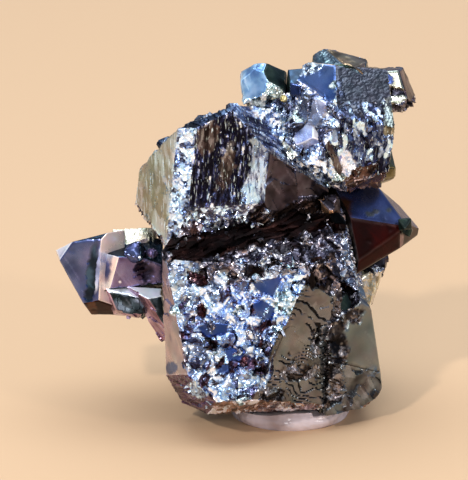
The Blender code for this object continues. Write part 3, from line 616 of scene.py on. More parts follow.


# one piece from several grown crystals; fills the mesh, presses the relief in and paints the tarnish with the
# painted highlights and shade
def buildPiece(name, crystals, seed):
    bm = bmesh.new()
    layer = bm.faces.layers.int.new("faceNumber")
    facesOf, sides = [], []
    for crystal in crystals:
        centre = Vector(crystal["centre"]) + Vector(clusterShift)
        if "faces" in crystal:
            planes = [(facing(a, e), d) for a, e, d, look in crystal["faces"].values()]
            looks = [look for a, e, d, look in crystal["faces"].values()]
            labels = list(crystal["faces"])
        else:
            planes = octahedronPlanes(*crystal["octahedron"])
            looks = [crystal["finish"][i % len(crystal["finish"])] for i in range(len(planes))]
            labels = [""] * len(planes)
        first = len(sides)
        for (normal, distance), look, label in zip(planes, looks, labels):
            sides.append({"normal": normal, "distance": distance, "centre": centre, "look": look,
                          "patches": crystal.get("patches", {}).get(label, ())})
        facesOf.append(range(first, len(sides)))
        cutCrystal(bm, layer, centre, planes, first)
    bmesh.ops.recalc_face_normals(bm, faces=bm.faces)
    refine(bm, layer, [finishes[f["look"]]["edge"] for f in sides])
    mesh = bpy.data.meshes.new(name)
    bm.to_mesh(mesh)
    bm.free()

    points = np.empty(len(mesh.vertices) * 3)
    mesh.vertices.foreach_get("co", points)
    points = points.reshape(-1, 3)
    number = np.empty(len(mesh.polygons), np.int32)
    mesh.attributes["faceNumber"].data.foreach_get("value", number)
    corner = np.empty(len(mesh.loops), np.int32)
    mesh.loops.foreach_get("vertex_index", corner)
    cornerNumber = np.repeat(number, 3)
    crystalOfFace = np.zeros(len(sides), np.int32)
    for i, span in enumerate(facesOf):
        crystalOfFace[list(span)] = i
    owner = np.zeros(len(points), np.int32)
    owner[corner] = crystalOfFace[cornerNumber]

    pushed = points.copy()
    tint = np.zeros((len(corner), 4))
    spread = np.zeros((len(points), 4))
    byFace = np.argsort(cornerNumber, kind="stable")
    cornerStart = np.searchsorted(cornerNumber[byFace], np.arange(len(sides) + 1))
    byOwner = np.argsort(owner, kind="stable")
    ownerStart = np.searchsorted(owner[byOwner], np.arange(len(facesOf) + 1))
    border = 0.12     # mm over which a face's relief fades past its edge
    brimWidth = 0.13  # mm from a crystal's edges that gets a painted highlight
    for i, span in enumerate(facesOf):
        mine = byOwner[ownerStart[i]:ownerStart[i + 1]]
        roundWidth, roundDepth = crystals[i].get("rounded", (0.13, 0.035))
        if not len(mine):
            continue
        p = points[mine]
        normals = np.array([sides[k]["normal"] for k in span])
        distances = np.array([sides[k]["distance"] for k in span])
        depth = (p - np.array(sides[span[0]]["centre"])) @ normals.T - distances
        weight = np.clip(1 + depth / border, 0, 1)
        alike = np.clip(normals @ normals.T, 0, 1) ** 2
        for j, k in enumerate(span):
            near = np.nonzero(weight[:, j] > 0)[0]
            if not len(near):
                continue
            side = sides[k]
            normal = side["normal"]
            level = Vector((0, 0, 1)).cross(normal)
            level = level.normalized() if level.length > 0.1 else Vector((1, 0, 0))
            up = normal.cross(level)
            q = p[near]
            u, v = q @ np.array(level), q @ np.array(up)
            look = finishes[side["look"]]
            faceSeed = seed * 100 + k * 7
            aim = cleavageSlope(normal, level, up)
            height, colour = dressed(look, u, v, faceSeed, aim)
            others = np.delete(depth[near], j, 1)
            brim = np.clip(1 + others.max(1) / brimWidth, 0, 1)
            if not look["flat"]:
                height = height - roundDepth * np.clip(1 + others.max(1) / roundWidth, 0, 1) ** 2
                # a painted highlight: the colour is lightened along the crystal's edges, where the rounded
                # rims catch the light
                worn = look["worn"] * np.clip(brim * 1.6 - 0.5, 0, 1)
                worn = worn * layeredNoise(u, v, 0.7, faceSeed + 77)
                colour[:, :3] = colour[:, :3] * (1 + 1.5 * worn[:, None]) + 0.06 * worn[:, None]
            if side["patches"]:
                px, py = photoPixels(q)
            for n, patch in enumerate(side["patches"]):
                inside = patchMask(px, py, u, v, patch, faceSeed + n)
                if inside.max() <= 0:
                    continue
                patchHeight, patchColour = dressed(finishes[patch["finish"]], u, v, faceSeed + 50 + n, aim)
                lean = patch.get("lean", (0, 0))
                if "at" in patch:
                    atX, atY = patch["at"]
                else:
                    atX, atY = np.array(patch["corners"], float).mean(0)
                tilted = photoScale * (lean[0] * (px - atX) - lean[1] * (py - atY))
                patchHeight = patchHeight + patch.get("level", 0) + tilted
                height = height * (1 - inside) + patchHeight * inside
                strong = inside * patch.get("strength", 1.0)
                colour = colour * (1 - strong[:, None]) + patchColour * strong[:, None]
            share = 1 / np.maximum(1, weight[near] @ alike[j])
            pushed[mine[near]] += (height * weight[near, j] * share)[:, None] * np.array(normal)
            spread[mine[near]] = colour
            ours = byFace[cornerStart[k]:cornerStart[k + 1]]
            tint[ours] = spread[corner[ours]]
    mesh.vertices.foreach_set("co", (pushed * mm).ravel())
    tarnishAndPaintedLight = mesh.attributes.new("tarnishAndPaintedLight", "FLOAT_COLOR", "CORNER")
    tarnishAndPaintedLight.data.foreach_set("color", tint.ravel())
    mesh.attributes.remove(mesh.attributes["faceNumber"])
    flat = np.array([finishes[f["look"]]["flat"] for f in sides])
    which = np.array([materialOrder.index(finishes[f["look"]]["material"]) for f in sides], np.int32)
    mesh.polygons.foreach_set("use_smooth", ~flat[number])
    for label in materialOrder:
        mesh.materials.append(metal[label])
    mesh.polygons.foreach_set("material_index", which[number])
    mesh.update()
    mesh.set_sharp_from_angle(angle=math.radians(sharpAngle))
    piece = bpy.data.objects.new(name, mesh)
    bpy.context.scene.collection.objects.link(piece)
    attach(piece, "root")
    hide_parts("crystal_cluster")
    print(name, len(mesh.polygons), "triangles")


print("materials")


def newGroup(name, inputs, outputs):
    group = bpy.data.node_groups.new(name, "ShaderNodeTree")
    for label, kind, value in inputs:
        socket = group.interface.new_socket(label, in_out="INPUT", socket_type=kind)
        socket.default_value = value
    for label, kind in outputs:
        group.interface.new_socket(label, in_out="OUTPUT", socket_type=kind)
    return group, group.nodes.new("NodeGroupInput"), group.nodes.new("NodeGroupOutput")


def mathNode(tree, operation, a, b=None, clamp=False):
    node = tree.nodes.new("ShaderNodeMath")
    node.operation, node.use_clamp = operation, clamp
    for socket, value in zip(node.inputs, (a, b)):
        if isinstance(value, (int, float)):
            socket.default_value = value
        elif value is not None:
            tree.links.new(value, socket)
    return node.outputs[0]


def noiseNode(tree, where, scale, detail=3.0):
    node = tree.nodes.new("ShaderNodeTexNoise")
    node.inputs["Detail"].default_value = detail
    tree.links.new(where, node.inputs["Vector"])
    if isinstance(scale, (int, float)):
        node.inputs["Scale"].default_value = scale
    else:
        tree.links.new(scale, node.inputs["Scale"])
    return node.outputs["Fac"]


# tarnish and glint film: drifts the painted colour in large clouds and fine freckles, lays painted glints on
# it, bright highlight grains that can be drawn out along an axis, gives the height of that grain, and makes
# pale places frosted
def tarnishAndGlintGroup():
    group, into, out = newGroup("tarnishAndGlintFilm", [
        ("Tint", "NodeSocketColor", (0.5, 0.5, 0.5, 1)), ("Polish", "NodeSocketFloat", 0.3),
        ("Cloud Scale", "NodeSocketFloat", 400.0), ("Cloud Amount", "NodeSocketFloat", 0.25),
        ("Grain Scale", "NodeSocketVector", (6000.0, 6000.0, 6000.0)),
        ("Freckle Amount", "NodeSocketFloat", 0.3), ("Glint Amount", "NodeSocketFloat", 0.0),
        ("Metal", "NodeSocketFloat", 0.9), ("Frost", "NodeSocketFloat", 0.6),
    ], [
        ("Color", "NodeSocketColor"), ("Roughness", "NodeSocketFloat"), ("Height", "NodeSocketFloat"),
        ("Metallic", "NodeSocketFloat"),
    ])

    def plus(a, b, clamp=False):
        return mathNode(group, "ADD", a, b, clamp)

    def minus(a, b, clamp=False):
        return mathNode(group, "SUBTRACT", a, b, clamp)

    def times(a, b, clamp=False):
        return mathNode(group, "MULTIPLY", a, b, clamp)

    where = group.nodes.new("ShaderNodeTexCoord").outputs["Object"]
    stretch = group.nodes.new("ShaderNodeVectorMath")
    stretch.operation = "MULTIPLY"
    group.links.new(where, stretch.inputs[0])
    group.links.new(into.outputs["Grain Scale"], stretch.inputs[1])
    cloud = noiseNode(group, where, into.outputs["Cloud Scale"])
    freckle = noiseNode(group, stretch.outputs[0], 1.0, 2.0)
    cloudy = times(minus(cloud, 0.5), into.outputs["Cloud Amount"])
    freckled = times(minus(freckle, 0.5), into.outputs["Freckle Amount"])
    shift = group.nodes.new("ShaderNodeHueSaturation")
    group.links.new(into.outputs["Tint"], shift.inputs["Color"])
    group.links.new(plus(times(cloudy, 0.07), 0.5), shift.inputs["Hue"])
    group.links.new(plus(times(cloudy, 1.2), 1.0), shift.inputs["Saturation"])
    group.links.new(plus(plus(cloudy, freckled), 1.0), shift.inputs["Value"])
    # painted glints: where the stretched freckles are high, the colour is mixed toward a pale blue-white, a
    # painted highlight
    glint = times(minus(freckle, 0.60), 9.0, True)
    glint = times(glint, times(cloud, into.outputs["Glint Amount"]), True)
    mix = group.nodes.new("ShaderNodeMix")
    mix.data_type = "RGBA"
    mix.inputs["B"].default_value = (0.72, 0.9, 1.0, 1)
    group.links.new(glint, mix.inputs["Factor"])
    group.links.new(shift.outputs["Color"], mix.inputs["A"])
    group.links.new(mix.outputs["Result"], out.inputs["Color"])
    rough = minus(into.outputs["Polish"], times(freckled, 0.4))
    group.links.new(plus(rough, times(cloudy, 0.3), True), out.inputs["Roughness"])
    group.links.new(freckle, out.inputs["Height"])
    grey = group.nodes.new("ShaderNodeRGBToBW")
    group.links.new(mix.outputs["Result"], grey.inputs["Color"])
    frosted = times(minus(grey.outputs["Val"], 0.32), 2.2, True)
    frosted = times(frosted, into.outputs["Frost"])
    group.links.new(minus(into.outputs["Metal"], frosted, True), out.inputs["Metallic"])
    return group


tarnishAndGlintFilm = tarnishAndGlintGroup()
# cloud is the scale and amount of the clouds, and depth is the height of the bump in m
metalLooks = {
    "broken": {"metallic": 0.92, "cloud": (350, 0.5), "grain": (9000, 9000, 9000), "freckle": 0.18,
               "glint": 0.0, "frost": 0.6, "bump": 0.25, "depth": 0.00002},
    "gloss": {"metallic": 0.85, "cloud": (260, 0.3), "grain": (5000, 5000, 5000), "freckle": 0.12,
              "glint": 0.0, "frost": 0.5, "bump": 0.12, "depth": 0.00001},
    "deep": {"metallic": 0.3, "cloud": (260, 0.3), "grain": (5000, 5000, 5000), "freckle": 0.12,
             "glint": 0.0, "frost": 0.2, "bump": 0.12, "depth": 0.00001, "specular": 0.08},
    "striated": {"metallic": 0.88, "cloud": (420, 0.4), "grain": (9000, 9000, 900), "freckle": 0.5,
                 "glint": 1.5, "frost": 0.6, "bump": 0.5, "depth": 0.00004},
}


def metalMaterial(name, look):
    material = bpy.data.materials.new(name)
    material.use_nodes = True
    tree = material.node_tree
    shader = tree.nodes["Principled BSDF"]
    shader.inputs["Specular IOR Level"].default_value = look.get("specular", 0.5)
    painted = tree.nodes.new("ShaderNodeAttribute")
    painted.attribute_name = "tarnishAndPaintedLight"
    film = tree.nodes.new("ShaderNodeGroup")
    film.node_tree = tarnishAndGlintFilm
    tree.links.new(painted.outputs["Color"], film.inputs["Tint"])
    tree.links.new(painted.outputs["Alpha"], film.inputs["Polish"])
    film.inputs["Cloud Scale"].default_value, film.inputs["Cloud Amount"].default_value = look["cloud"]
    for label, key in (("Grain Scale", "grain"), ("Freckle Amount", "freckle"), ("Glint Amount", "glint"),
                       ("Metal", "metallic"), ("Frost", "frost")):
        film.inputs[label].default_value = look[key]
    tree.links.new(film.outputs["Color"], shader.inputs["Base Color"])
    tree.links.new(film.outputs["Roughness"], shader.inputs["Roughness"])
    tree.links.new(film.outputs["Metallic"], shader.inputs["Metallic"])
    bump = tree.nodes.new("ShaderNodeBump")
    bump.inputs["Strength"].default_value = look["bump"]
    bump.inputs["Distance"].default_value = look["depth"]
    tree.links.new(film.outputs["Height"], bump.inputs["Height"])
    tree.links.new(bump.outputs["Normal"], shader.inputs["Normal"])
    return material


metal = {label: metalMaterial(label + "Carrollite", metalLooks[label]) for label in materialOrder}

print("crystals")
# Faces are (azimuth, elevation, distance from the centre in mm, finish); azimuth 0 faces the camera's side.
# Patches lie on one face, at pixels of the photo.
baseCrystal = [
    {"centre": (-2.0, 1.0, 5.5),
     "faces": {
         "front": (4, 13, 7.2, "silverBroken"), "right": (32, -1, 6.35, "taupeSteps"),
         "left": (-66, -5, 8.3, "peachGloss"), "skirt": (7, -59, 5.8, "groundRim"),
         "heel": (-53, -37, 7.45, "plumStriae"), "shelf": (6, 48, 9.5, "darkBroken"),
         "foot": (0, -90, 4.55, "hidden"), "back": (175, 5, 6.0, "weathered"),
         "backRight": (110, 5, 4.4, "weathered"), "backLeft": (-126, 4, 3.5, "backGloss"),
         "backTop": (170, 50, 7.0, "weathered")},
     "patches": {
         "front": [
             area("darkBroken", (186, 246), (308, 246), (310, 270), (286, 283), (250, 284), (228, 300),
                  (196, 292), ragged=7, soft=2),
             spot("darkBroken", (284, 268), (20, 9), turn=-8, ragged=6, soft=2, strength=0.85),
             area("whiteBroken", (158, 250), (196, 250), (200, 300), (182, 330), (166, 300), ragged=8,
                  strength=0.5, soft=3),
             area("royalFlat", (253, 281), (283, 277), (273, 297), (256, 290), ragged=1.6, level=-0.1,
                  lean=(0.1, 0.15)),
             area("royalFlat", (252, 303), (262, 300), (275, 308), (272, 320), (258, 318), ragged=1.6,
                  level=-0.15, lean=(-0.1, 0.1)),
             area("royalFlat", (197, 327), (208, 323), (229, 324), (226, 334), (206, 337), ragged=1.0,
                  level=-0.1, lean=(0.05, 0.2)),
             area("royalFlat", (224, 350), (240, 346), (247, 352), (240, 361), (228, 360), ragged=1.2,
                  level=-0.15),
             area("royalFlat", (217, 365), (229, 364), (229, 373), (218, 374), ragged=0.6, level=-0.1),
             spot("peachGloss", (259, 258), (11, 6), turn=5, ragged=4),
             # a white sparkling patch where the light catches the lower front: a painted highlight
             spot("whiteBroken", (246, 386), (20, 12), turn=-20, ragged=8, strength=0.6, soft=4),
             spot("darkBroken", (188, 352), (7, 12), turn=-20, ragged=4, strength=0.7),
             area("taupeSteps", (263, 405), (267, 362), (276, 334), (297, 308), (318, 288), (360, 250),
                  (360, 405), ragged=3.5, level=-0.02, lean=(-0.2, 0)),
             spot("silverSwirl", (196, 353), (12, 17), ragged=5, soft=2),
             spot("silverSwirl", (219, 288), (10, 17), turn=20, ragged=5, soft=2),
             spot("tealGrain", (286, 303), (12, 14), ragged=4, soft=2, level=0.1),
             spot("maroonPit", (197, 279), (10, 6), turn=20, ragged=4, level=-0.15),
             spot("maroonPit", (203, 313), (5, 8), ragged=4, level=-0.15),
             spot("maroonPit", (211, 346), (4, 9), turn=-25, ragged=3, level=-0.2),
             spot("maroonPit", (220, 364), (2.5, 8), turn=35, ragged=2, level=-0.2),
             spot("maroonPit", (244, 362), (4, 6), ragged=3, level=-0.15)],
         "right": [
             area("darkBroken", (300, 240), (362, 240), (362, 300), (330, 296), (300, 284), ragged=5),
             area("silverBroken", (258, 408), (262, 362), (284, 328), (290, 334), (273, 372), (269, 408),
                  ragged=3),
             spot("darkPits", (316, 342), (5, 17), turn=8, ragged=5, level=-0.12),
             area("darkPits", (322, 296), (352, 290), (350, 340), (338, 402), (326, 402), (330, 340),
                  ragged=8, level=-0.1, soft=2),
             spot("darkPits", (300, 372), (20, 9), turn=-10, ragged=8, level=-0.08, soft=2),
             area("darkPits", (256, 392), (262, 386), (286, 390), (284, 404), (262, 404), ragged=3)],
         # the shelf under the upper crystals is darkened towards the back: a painted shadow
         "shelf": [
             area("umberUnder", (160, 190), (350, 190), (350, 220), (296, 238), (236, 252), (206, 260),
                  (170, 264), ragged=5, soft=3),
             area("umberUnder", (268, 250), (292, 238), (300, 244), (284, 256), ragged=4, strength=0.8,
                  level=-0.1)],
         "left": [
             spot("royalGloss", (171, 368), (6.5, 6), ragged=1.5),
             spot("bladePink", (168, 300), (12, 30), ragged=4, strength=0.5, soft=6)],
         "heel": [
             spot("whiteBroken", (201, 388), (14, 10), ragged=3)]}},
]

tabletCrystal = [
    {"centre": (4.5, 1.5, 4.0),
     "faces": {
         "face": (36, 7, 3.9, "oliveGloss"), "lower": (30, -9, 3.95, "oliveMottle"),
         "edge": (101, 8, 1.5, "oliveGloss"), "edgeLow": (95, -38, 2.65, "oliveMottle"),
         "toe": (63, -57, 3.75, "groundRim"), "crown": (84, 37, 4.15, "oliveMottle"),
         "crownLeft": (-20, 60, 6.25, "darkBroken"), "left": (-61, 0, 4.25, "darkPits"),
         "back": (200, 0, 3.0, "weathered"), "foot": (0, -90, 3.05, "hidden")},
     "patches": {
         "face": [
             area("umberUnder", (338, 362), (382, 371), (382, 374), (338, 366), ragged=0.8, level=-0.04),
             area("darkPits", (330, 300), (350, 300), (346, 350), (340, 404), (326, 404), ragged=7,
                  level=-0.06, soft=2),
             area("darkPits", (342, 306), (366, 312), (360, 322), (342, 324), ragged=5, level=-0.05)],
         "lower": [
             area("darkPits", (322, 360), (342, 364), (344, 404), (322, 410), ragged=7, level=-0.06,
                  soft=2)]}},
]

upperLeftCrystal = [
    {"centre": (-5.0, 0.0, 18.0),
     "faces": {
         "front": (14, -8, 3.4, "blackStriae"), "strip": (-25, -4, 4.8, "whiteStrip"),
         "left": (-46, -1, 5.2, "oliveStreaks"), "brown": (32, -9, 3.95, "brownGloss"),
         "crest": (-39, 60, 7.4, "navyCrest"), "bevel": (56, 24, 5.5, "slateBevel"),
         "band": (14, -18, 3.4, "sparkBand"), "under": (30, -66, 4.4, "umberUnder"),
         "underLeft": (-77, -34, 6.1, "redSpark"), "backCrest": (-150, 46, 2.55, "weathered"),
         "back": (178, 0, 5.0, "weathered"), "leftRim": (-98, 7, 6.05, "oliveStreaks"),
         "backLeft": (-111, 38, 5.05, "backGloss"), "backRight": (110, 10, 7.15, "hidden")},
     "patches": {
         "front": [
             area("brownStriae", (198, 130), (214, 120), (220, 134), (214, 152), (200, 154), (195, 144),
                  ragged=5, soft=3),
             spot("brownStriae", (226, 168), (8, 22), turn=12, ragged=7, soft=4),
             # the right part of the front is painted white with striae where the light catches it: a painted
             # highlight
             area("whiteStriae", (248, 176), (256, 160), (268, 152), (266, 200), (242, 208), (242, 188),
                  ragged=3, soft=2),
             area("whiteStriae", (250, 140), (260, 138), (268, 150), (256, 170), (250, 160), ragged=6,
                  soft=2, strength=0.6)],
         "brown": [
             area("umberStreaks", (258, 212), (300, 200), (332, 186), (350, 240), (258, 250), ragged=4,
                  soft=3)],
         "bevel": [
             area("paleRough", (247, 104), (262, 96), (310, 96), (314, 168), (294, 158), ragged=4, soft=2,
                  level=0.1)],
         "band": [
             area("redSpark", (170, 222), (200, 222), (210, 262), (170, 262), ragged=6, soft=3),
             area("umberStreaks", (250, 214), (258, 204), (290, 196), (290, 232), (244, 234), ragged=4,
                  soft=2),
             area("darkBroken", (210, 222), (240, 218), (246, 224), (236, 232), (210, 236), ragged=5,
                  soft=2, strength=0.5)]}},
]

upperRightCrystal = [
    {"centre": (4.0, 0.5, 22.5),
     "faces": {
         # the blue face tilts up and is painted royal blue: a painted reflection of the sky
         "blue": (-33, 40, 3.95, "royalGloss"), "slate": (27, 43, 3.55, "slateGrain"),
         "left": (-44, 9, 3.3, "linkRough"), "front": (6, -16, 3.25, "columns"),
         "right": (101, -3, 2.85, "paleStriae"), "chin": (24, -52, 4.5, "recessBrown"),
         "chinLeft": (-40, -50, 4.25, "linkRough"), "top": (-20, 105, 4.15, "oliveBeige"),
         "back": (180, 0, 4.0, "weathered"), "backRight": (128, 20, 4.0, "weathered"),
         "backLeft": (-130, 10, 3.1, "weathered"), "foot": (0, -86, 5.2, "umberUnder"),
         "backTop": (170, 50, 4.4, "weathered")},
     "patches": {
         "front": [
             area("lilacWhite", (330, 160), (346, 150), (358, 166), (352, 190), (336, 196), (326, 184),
                  ragged=4, soft=2),
             area("recessBrown", (344, 182), (356, 168), (378, 164), (378, 200), (346, 200), ragged=3,
                  level=-0.2),
             area("lathGrey", (321, 133), (327, 133), (343, 167), (341, 175), (335, 170), ragged=1.2,
                  level=0.2),
             area("paleRough", (290, 140), (322, 150), (338, 200), (314, 206), (296, 190), ragged=5,
                  soft=3),
             spot("lilacWhite", (306, 178), (10, 8), ragged=4, strength=0.6),
             spot("lilacWhite", (322, 188), (9, 6), ragged=4, strength=0.6),
             area("paleStriae", (384, 108), (402, 106), (396, 134), (384, 136), ragged=1.0)],
         "slate": [
             area("columns", (334, 108), (350, 103), (372, 103), (388, 100), (392, 134), (334, 134),
                  ragged=9, soft=6, strength=0.6),
             spot("columns", (338, 98), (4, 18), turn=6, ragged=5, soft=3, strength=0.5),
             area("paleStriae", (384, 98), (398, 96), (404, 104), (396, 132), (384, 132), ragged=1.0,
                  strength=0.6),
             spot("slateCap", (352, 62), (14, 5), ragged=4, soft=3, strength=0.8)],
         "blue": [
             spot("paleEtched", (312, 68), (14, 7), turn=-20, ragged=5, strength=0.7, soft=3),
             spot("paleEtched", (334, 84), (3, 6), turn=30, ragged=3),
             spot("whiteBroken", (336, 98), (3, 10), turn=20, ragged=4)],
         "chinLeft": [
             area("paleRough", (280, 150), (330, 150), (336, 206), (300, 200), ragged=4, soft=3)],
         "left": [
             area("paleRough", (262, 130), (322, 144), (322, 200), (280, 180), ragged=5, soft=3),
             area("slatePlate", (296, 120), (306, 93), (316, 94), (311, 124), (300, 126), ragged=0.8,
                  level=0.3, lean=(0.3, 0)),
             area("lilacPlate", (311, 124), (317, 96), (327, 102), (326, 114), (320, 128), ragged=0.8,
                  level=0.35, lean=(-0.25, 0)),
             area("iceGloss", (288, 140), (298, 116), (301, 118), (292, 144), ragged=1.5, level=0.2)]}},
]

rightOctahedron = [
    {"centre": (5.5, 3.0, 13.5),
     "faces": {
         # the blue and slope faces tilt up and are painted royal blue: a painted reflection of the sky
         "blue": (37, 47, 2.25, "royalSmooth"), "dark": (39, -18, 2.6, "maroonGloss"),
         "rim": (24, 13, 2.35, "maroonGloss"), "tip": (67, -9, 2.95, "maroonGloss"),
         "under": (65, -57, 2.65, "maroonGloss"), "slope": (92, 40, 2.7, "royalSmooth"),
         "back": (175, 0, 3.0, "backGloss"), "backTop": (160, 50, 3.0, "backGloss"),
         "foot": (0, -84, 3.6, "maroonGloss"), "left": (-59, -5, 2.2, "hidden")},
     "patches": {
         "tip": [
             spot("pinkGloss", (400, 242), (3.5, 8), turn=15, ragged=2)],
         "blue": [
             spot("oliveKnob", (372, 213), (8, 2.6), ragged=3, strength=0.7),
             spot("oliveKnob", (390, 210), (3, 2), ragged=2, strength=0.7),
             area("umberGloss", (330, 196), (352, 200), (350, 226), (330, 222), ragged=3, soft=5)]}},
    {"centre": (8.5, 1.6, 14.2), "octahedron": (0.45, 0.9, (15, 40, 10)), "finish": ["greenDark"]},
    {"centre": (8.7, 1.9, 13.6), "octahedron": (0.36, 0.9, (45, 10, 35)), "finish": ["greenDark"]},
]

leftGroup = [
    {"centre": (-14.5, 2.0, 10.0),
     "faces": {
         "front": (-15, 5, 1.6, "lilacSlate"), "peach": (38, 2, 1.55, "peachBlotch"),
         "left": (-83, -28, 1.75, "lilacSlate"), "top": (-28, 56, 3.45, "tealDark"),
         "snout": (-78, 32, 3.2, "whiteTip"), "under": (5, -47, 2.2, "maroonGloss"),
         "back": (175, 0, 2.0, "backGloss"), "right": (90, 0, 2.2, "hidden"),
         "foot": (-40, -84, 3.05, "maroonGloss"), "backTop": (-150, 62, 2.7, "backGloss")},
     "patches": {
         "front": [
             spot("tealDark", (91, 278), (5, 34), turn=6, ragged=3, level=-0.12, soft=2),
             spot("iceGloss", (99, 266), (3, 26), turn=8, ragged=1.5, level=0.06),
             spot("bladePink", (72, 320), (8, 8), ragged=3, strength=0.5, soft=5)],
         "peach": [
             spot("cyanGloss", (104, 258), (5, 5), ragged=3, strength=0.6, soft=3),
             spot("cyanGloss", (98, 268), (4, 10), turn=20, ragged=3, strength=0.5, soft=3)],
         "under": [
             spot("umberGloss", (92, 310), (6, 10), ragged=3)]}},
    {"centre": (-11.5, 1.5, 11.0),
     "faces": {
         "front": (4, -2, 1.3, "plumGloss"), "peach": (-39, 9, 2.05, "peachBlotch"),
         "top": (26, 41, 1.75, "tealDark"), "under": (10, -50, 1.7, "bladeGreen"),
         "back": (180, 0, 2.0, "backGloss"), "ridge": (-8, 84, 1.3, "tealDark"),
         "right": (90, 0, 2.0, "hidden"), "left": (-100, 10, 2.2, "hidden")},
     "patches": {
         "front": [
             spot("umberUnder", (147, 271), (9, 12), turn=20, ragged=9, soft=6, strength=0.85),
             # two tiny white specks: painted glints
             spot("whiteTip", (120, 282), (1.2, 1.2), ragged=0.3),
             spot("whiteTip", (126, 312), (1.2, 1.2), ragged=0.3)],
         "peach": [
             spot("lilacSlate", (107, 270), (4, 12), turn=10, ragged=3, soft=3),
             spot("cyanGloss", (106, 253), (5, 5), ragged=3, strength=0.5, soft=3)]}},
    {"centre": (-11.9, 3.0, 12.3),
     "faces": {
         "front": (11, 20, 0.6, "tealDark"), "left": (-84, 10, 1.3, "palePlate"),
         "right": (80, 10, 1.7, "palePlate"), "top": (-20, 68, 0.35, "palePlate"),
         "under": (0, -60, 0.9, "hidden"), "back": (175, 10, 1.2, "backGloss")},
     "patches": {
         "front": [
             area("palePlate", (112, 232), (126, 228), (148, 226), (150, 240), (142, 246), ragged=1.0),
             spot("peachGloss", (143, 238), (5, 5), ragged=2)]}},
    # a rounded bead painted by how light falls on it: its left and top faces pale, its right and lower faces
    # dark and the face toward the front pale blue-white, a painted light and shade
    {"centre": (-11.5, 0.4, 12.4), "rounded": (0.7, 0.24), "octahedron": (0.8, 0.75, (12, 10, 25)),
     "finish": ["lilacSlate"] * 4 + ["tealDark"] * 4
     + ["lilacSlate", "tealDark", "iceGloss", "tealDark", "tealDark", "lilacSlate"]},
    {"centre": (-10.3, 0.4, 12.3), "rounded": (0.4, 0.12), "octahedron": (0.45, 0.75, (30, 10, 5)),
     "finish": ["tealDark", "plumGloss"]},
    {"centre": (-12.0, 0.5, 8.5),
     "faces": {
         "front": (-5, 11, 0.8, "bladeGreen"), "left": (-70, -14, 1.2, "bladePink"),
         "under": (-17, -59, 0.95, "bladePink"), "right": (81, -4, 1.25, "bladeGreen"),
         "top": (11, 62, 0.95, "whiteTip"), "back": (180, 0, 0.9, "backGloss"),
         "toe": (53, -52, 1.4, "bladeGreen")}},
    {"centre": (-10.0, -0.5, 7.5),
     "faces": {
         "front": (20, 8, 0.8, "bladeGreen"), "left": (-48, -23, 0.15, "bladePink"),
         "tip": (-7, -65, 1.55, "bladeGreen"), "right": (89, 10, 0.75, "palePlate"),
         "top": (2, 73, 1.95, "whiteTip"), "back": (175, 0, 0.6, "backGloss")},
     "patches": {
         "front": [
             area("paleEtched", (162, 316), (168, 318), (176, 340), (174, 352), (169, 344), ragged=1.5)]}},
]

shoulderCrystals = [
    {"centre": (3.0, 0.0, 12.0),
     "faces": {
         "front": (32, 22, 1.75, "shoulderSpark"), "left": (-36, 29, 2.55, "darkBroken"),
         "under": (-41, -57, 1.6, "umberUnder"), "right": (86, 12, 1.6, "shoulderSpark"),
         "top": (1, 86, 2.35, "umberUnder"), "back": (180, 0, 2.6, "hidden"),
         "leftLow": (-80, -10, 2.6, "umberUnder")}},
    {"centre": (6.5, 4.5, 8.5),
     "faces": {
         "front": (28, 9, 0.2, "palePlate"), "left": (-60, 30, 1.5, "palePlate"),
         "right": (80, -16, 0.05, "palePlate"), "top": (-29, 69, 1.2, "palePlate"),
         "foot": (0, -80, 1.65, "hidden"), "back": (190, 0, 1.8, "weathered")}},
    {"centre": (7.0, 3.0, 18.5), "rounded": (0.5, 0.12),
     "faces": {
         "front": (39, -17, 1.2, "oliveKnob"), "top": (60, 52, 0.7, "oliveKnob"),
         "right": (97, 2, 0.75, "oliveKnob"), "under": (42, -64, 1.3, "oliveKnob"),
         "left": (-60, 0, 1.3, "hidden"), "back": (185, 0, 1.2, "oliveKnob"),
         "crown": (0, 80, 1.5, "oliveKnob")}},
    {"centre": (2.9, -0.2, 16.3), "octahedron": (0.62, 0.85, (20, 35, 15)),
     "finish": ["hazelGloss", "brownGloss"]},
    {"centre": (3.6, -1.8, 8.9), "octahedron": (0.8, 0.85, (25, 15, 70)),
     "finish": ["oliveMottle", "greenDark", "umberUnder"]},
    {"centre": (4.4, -1.2, 8.0), "octahedron": (0.6, 0.85, (50, 5, 20)),
     "finish": ["oliveMottle", "palePlate"]},
]

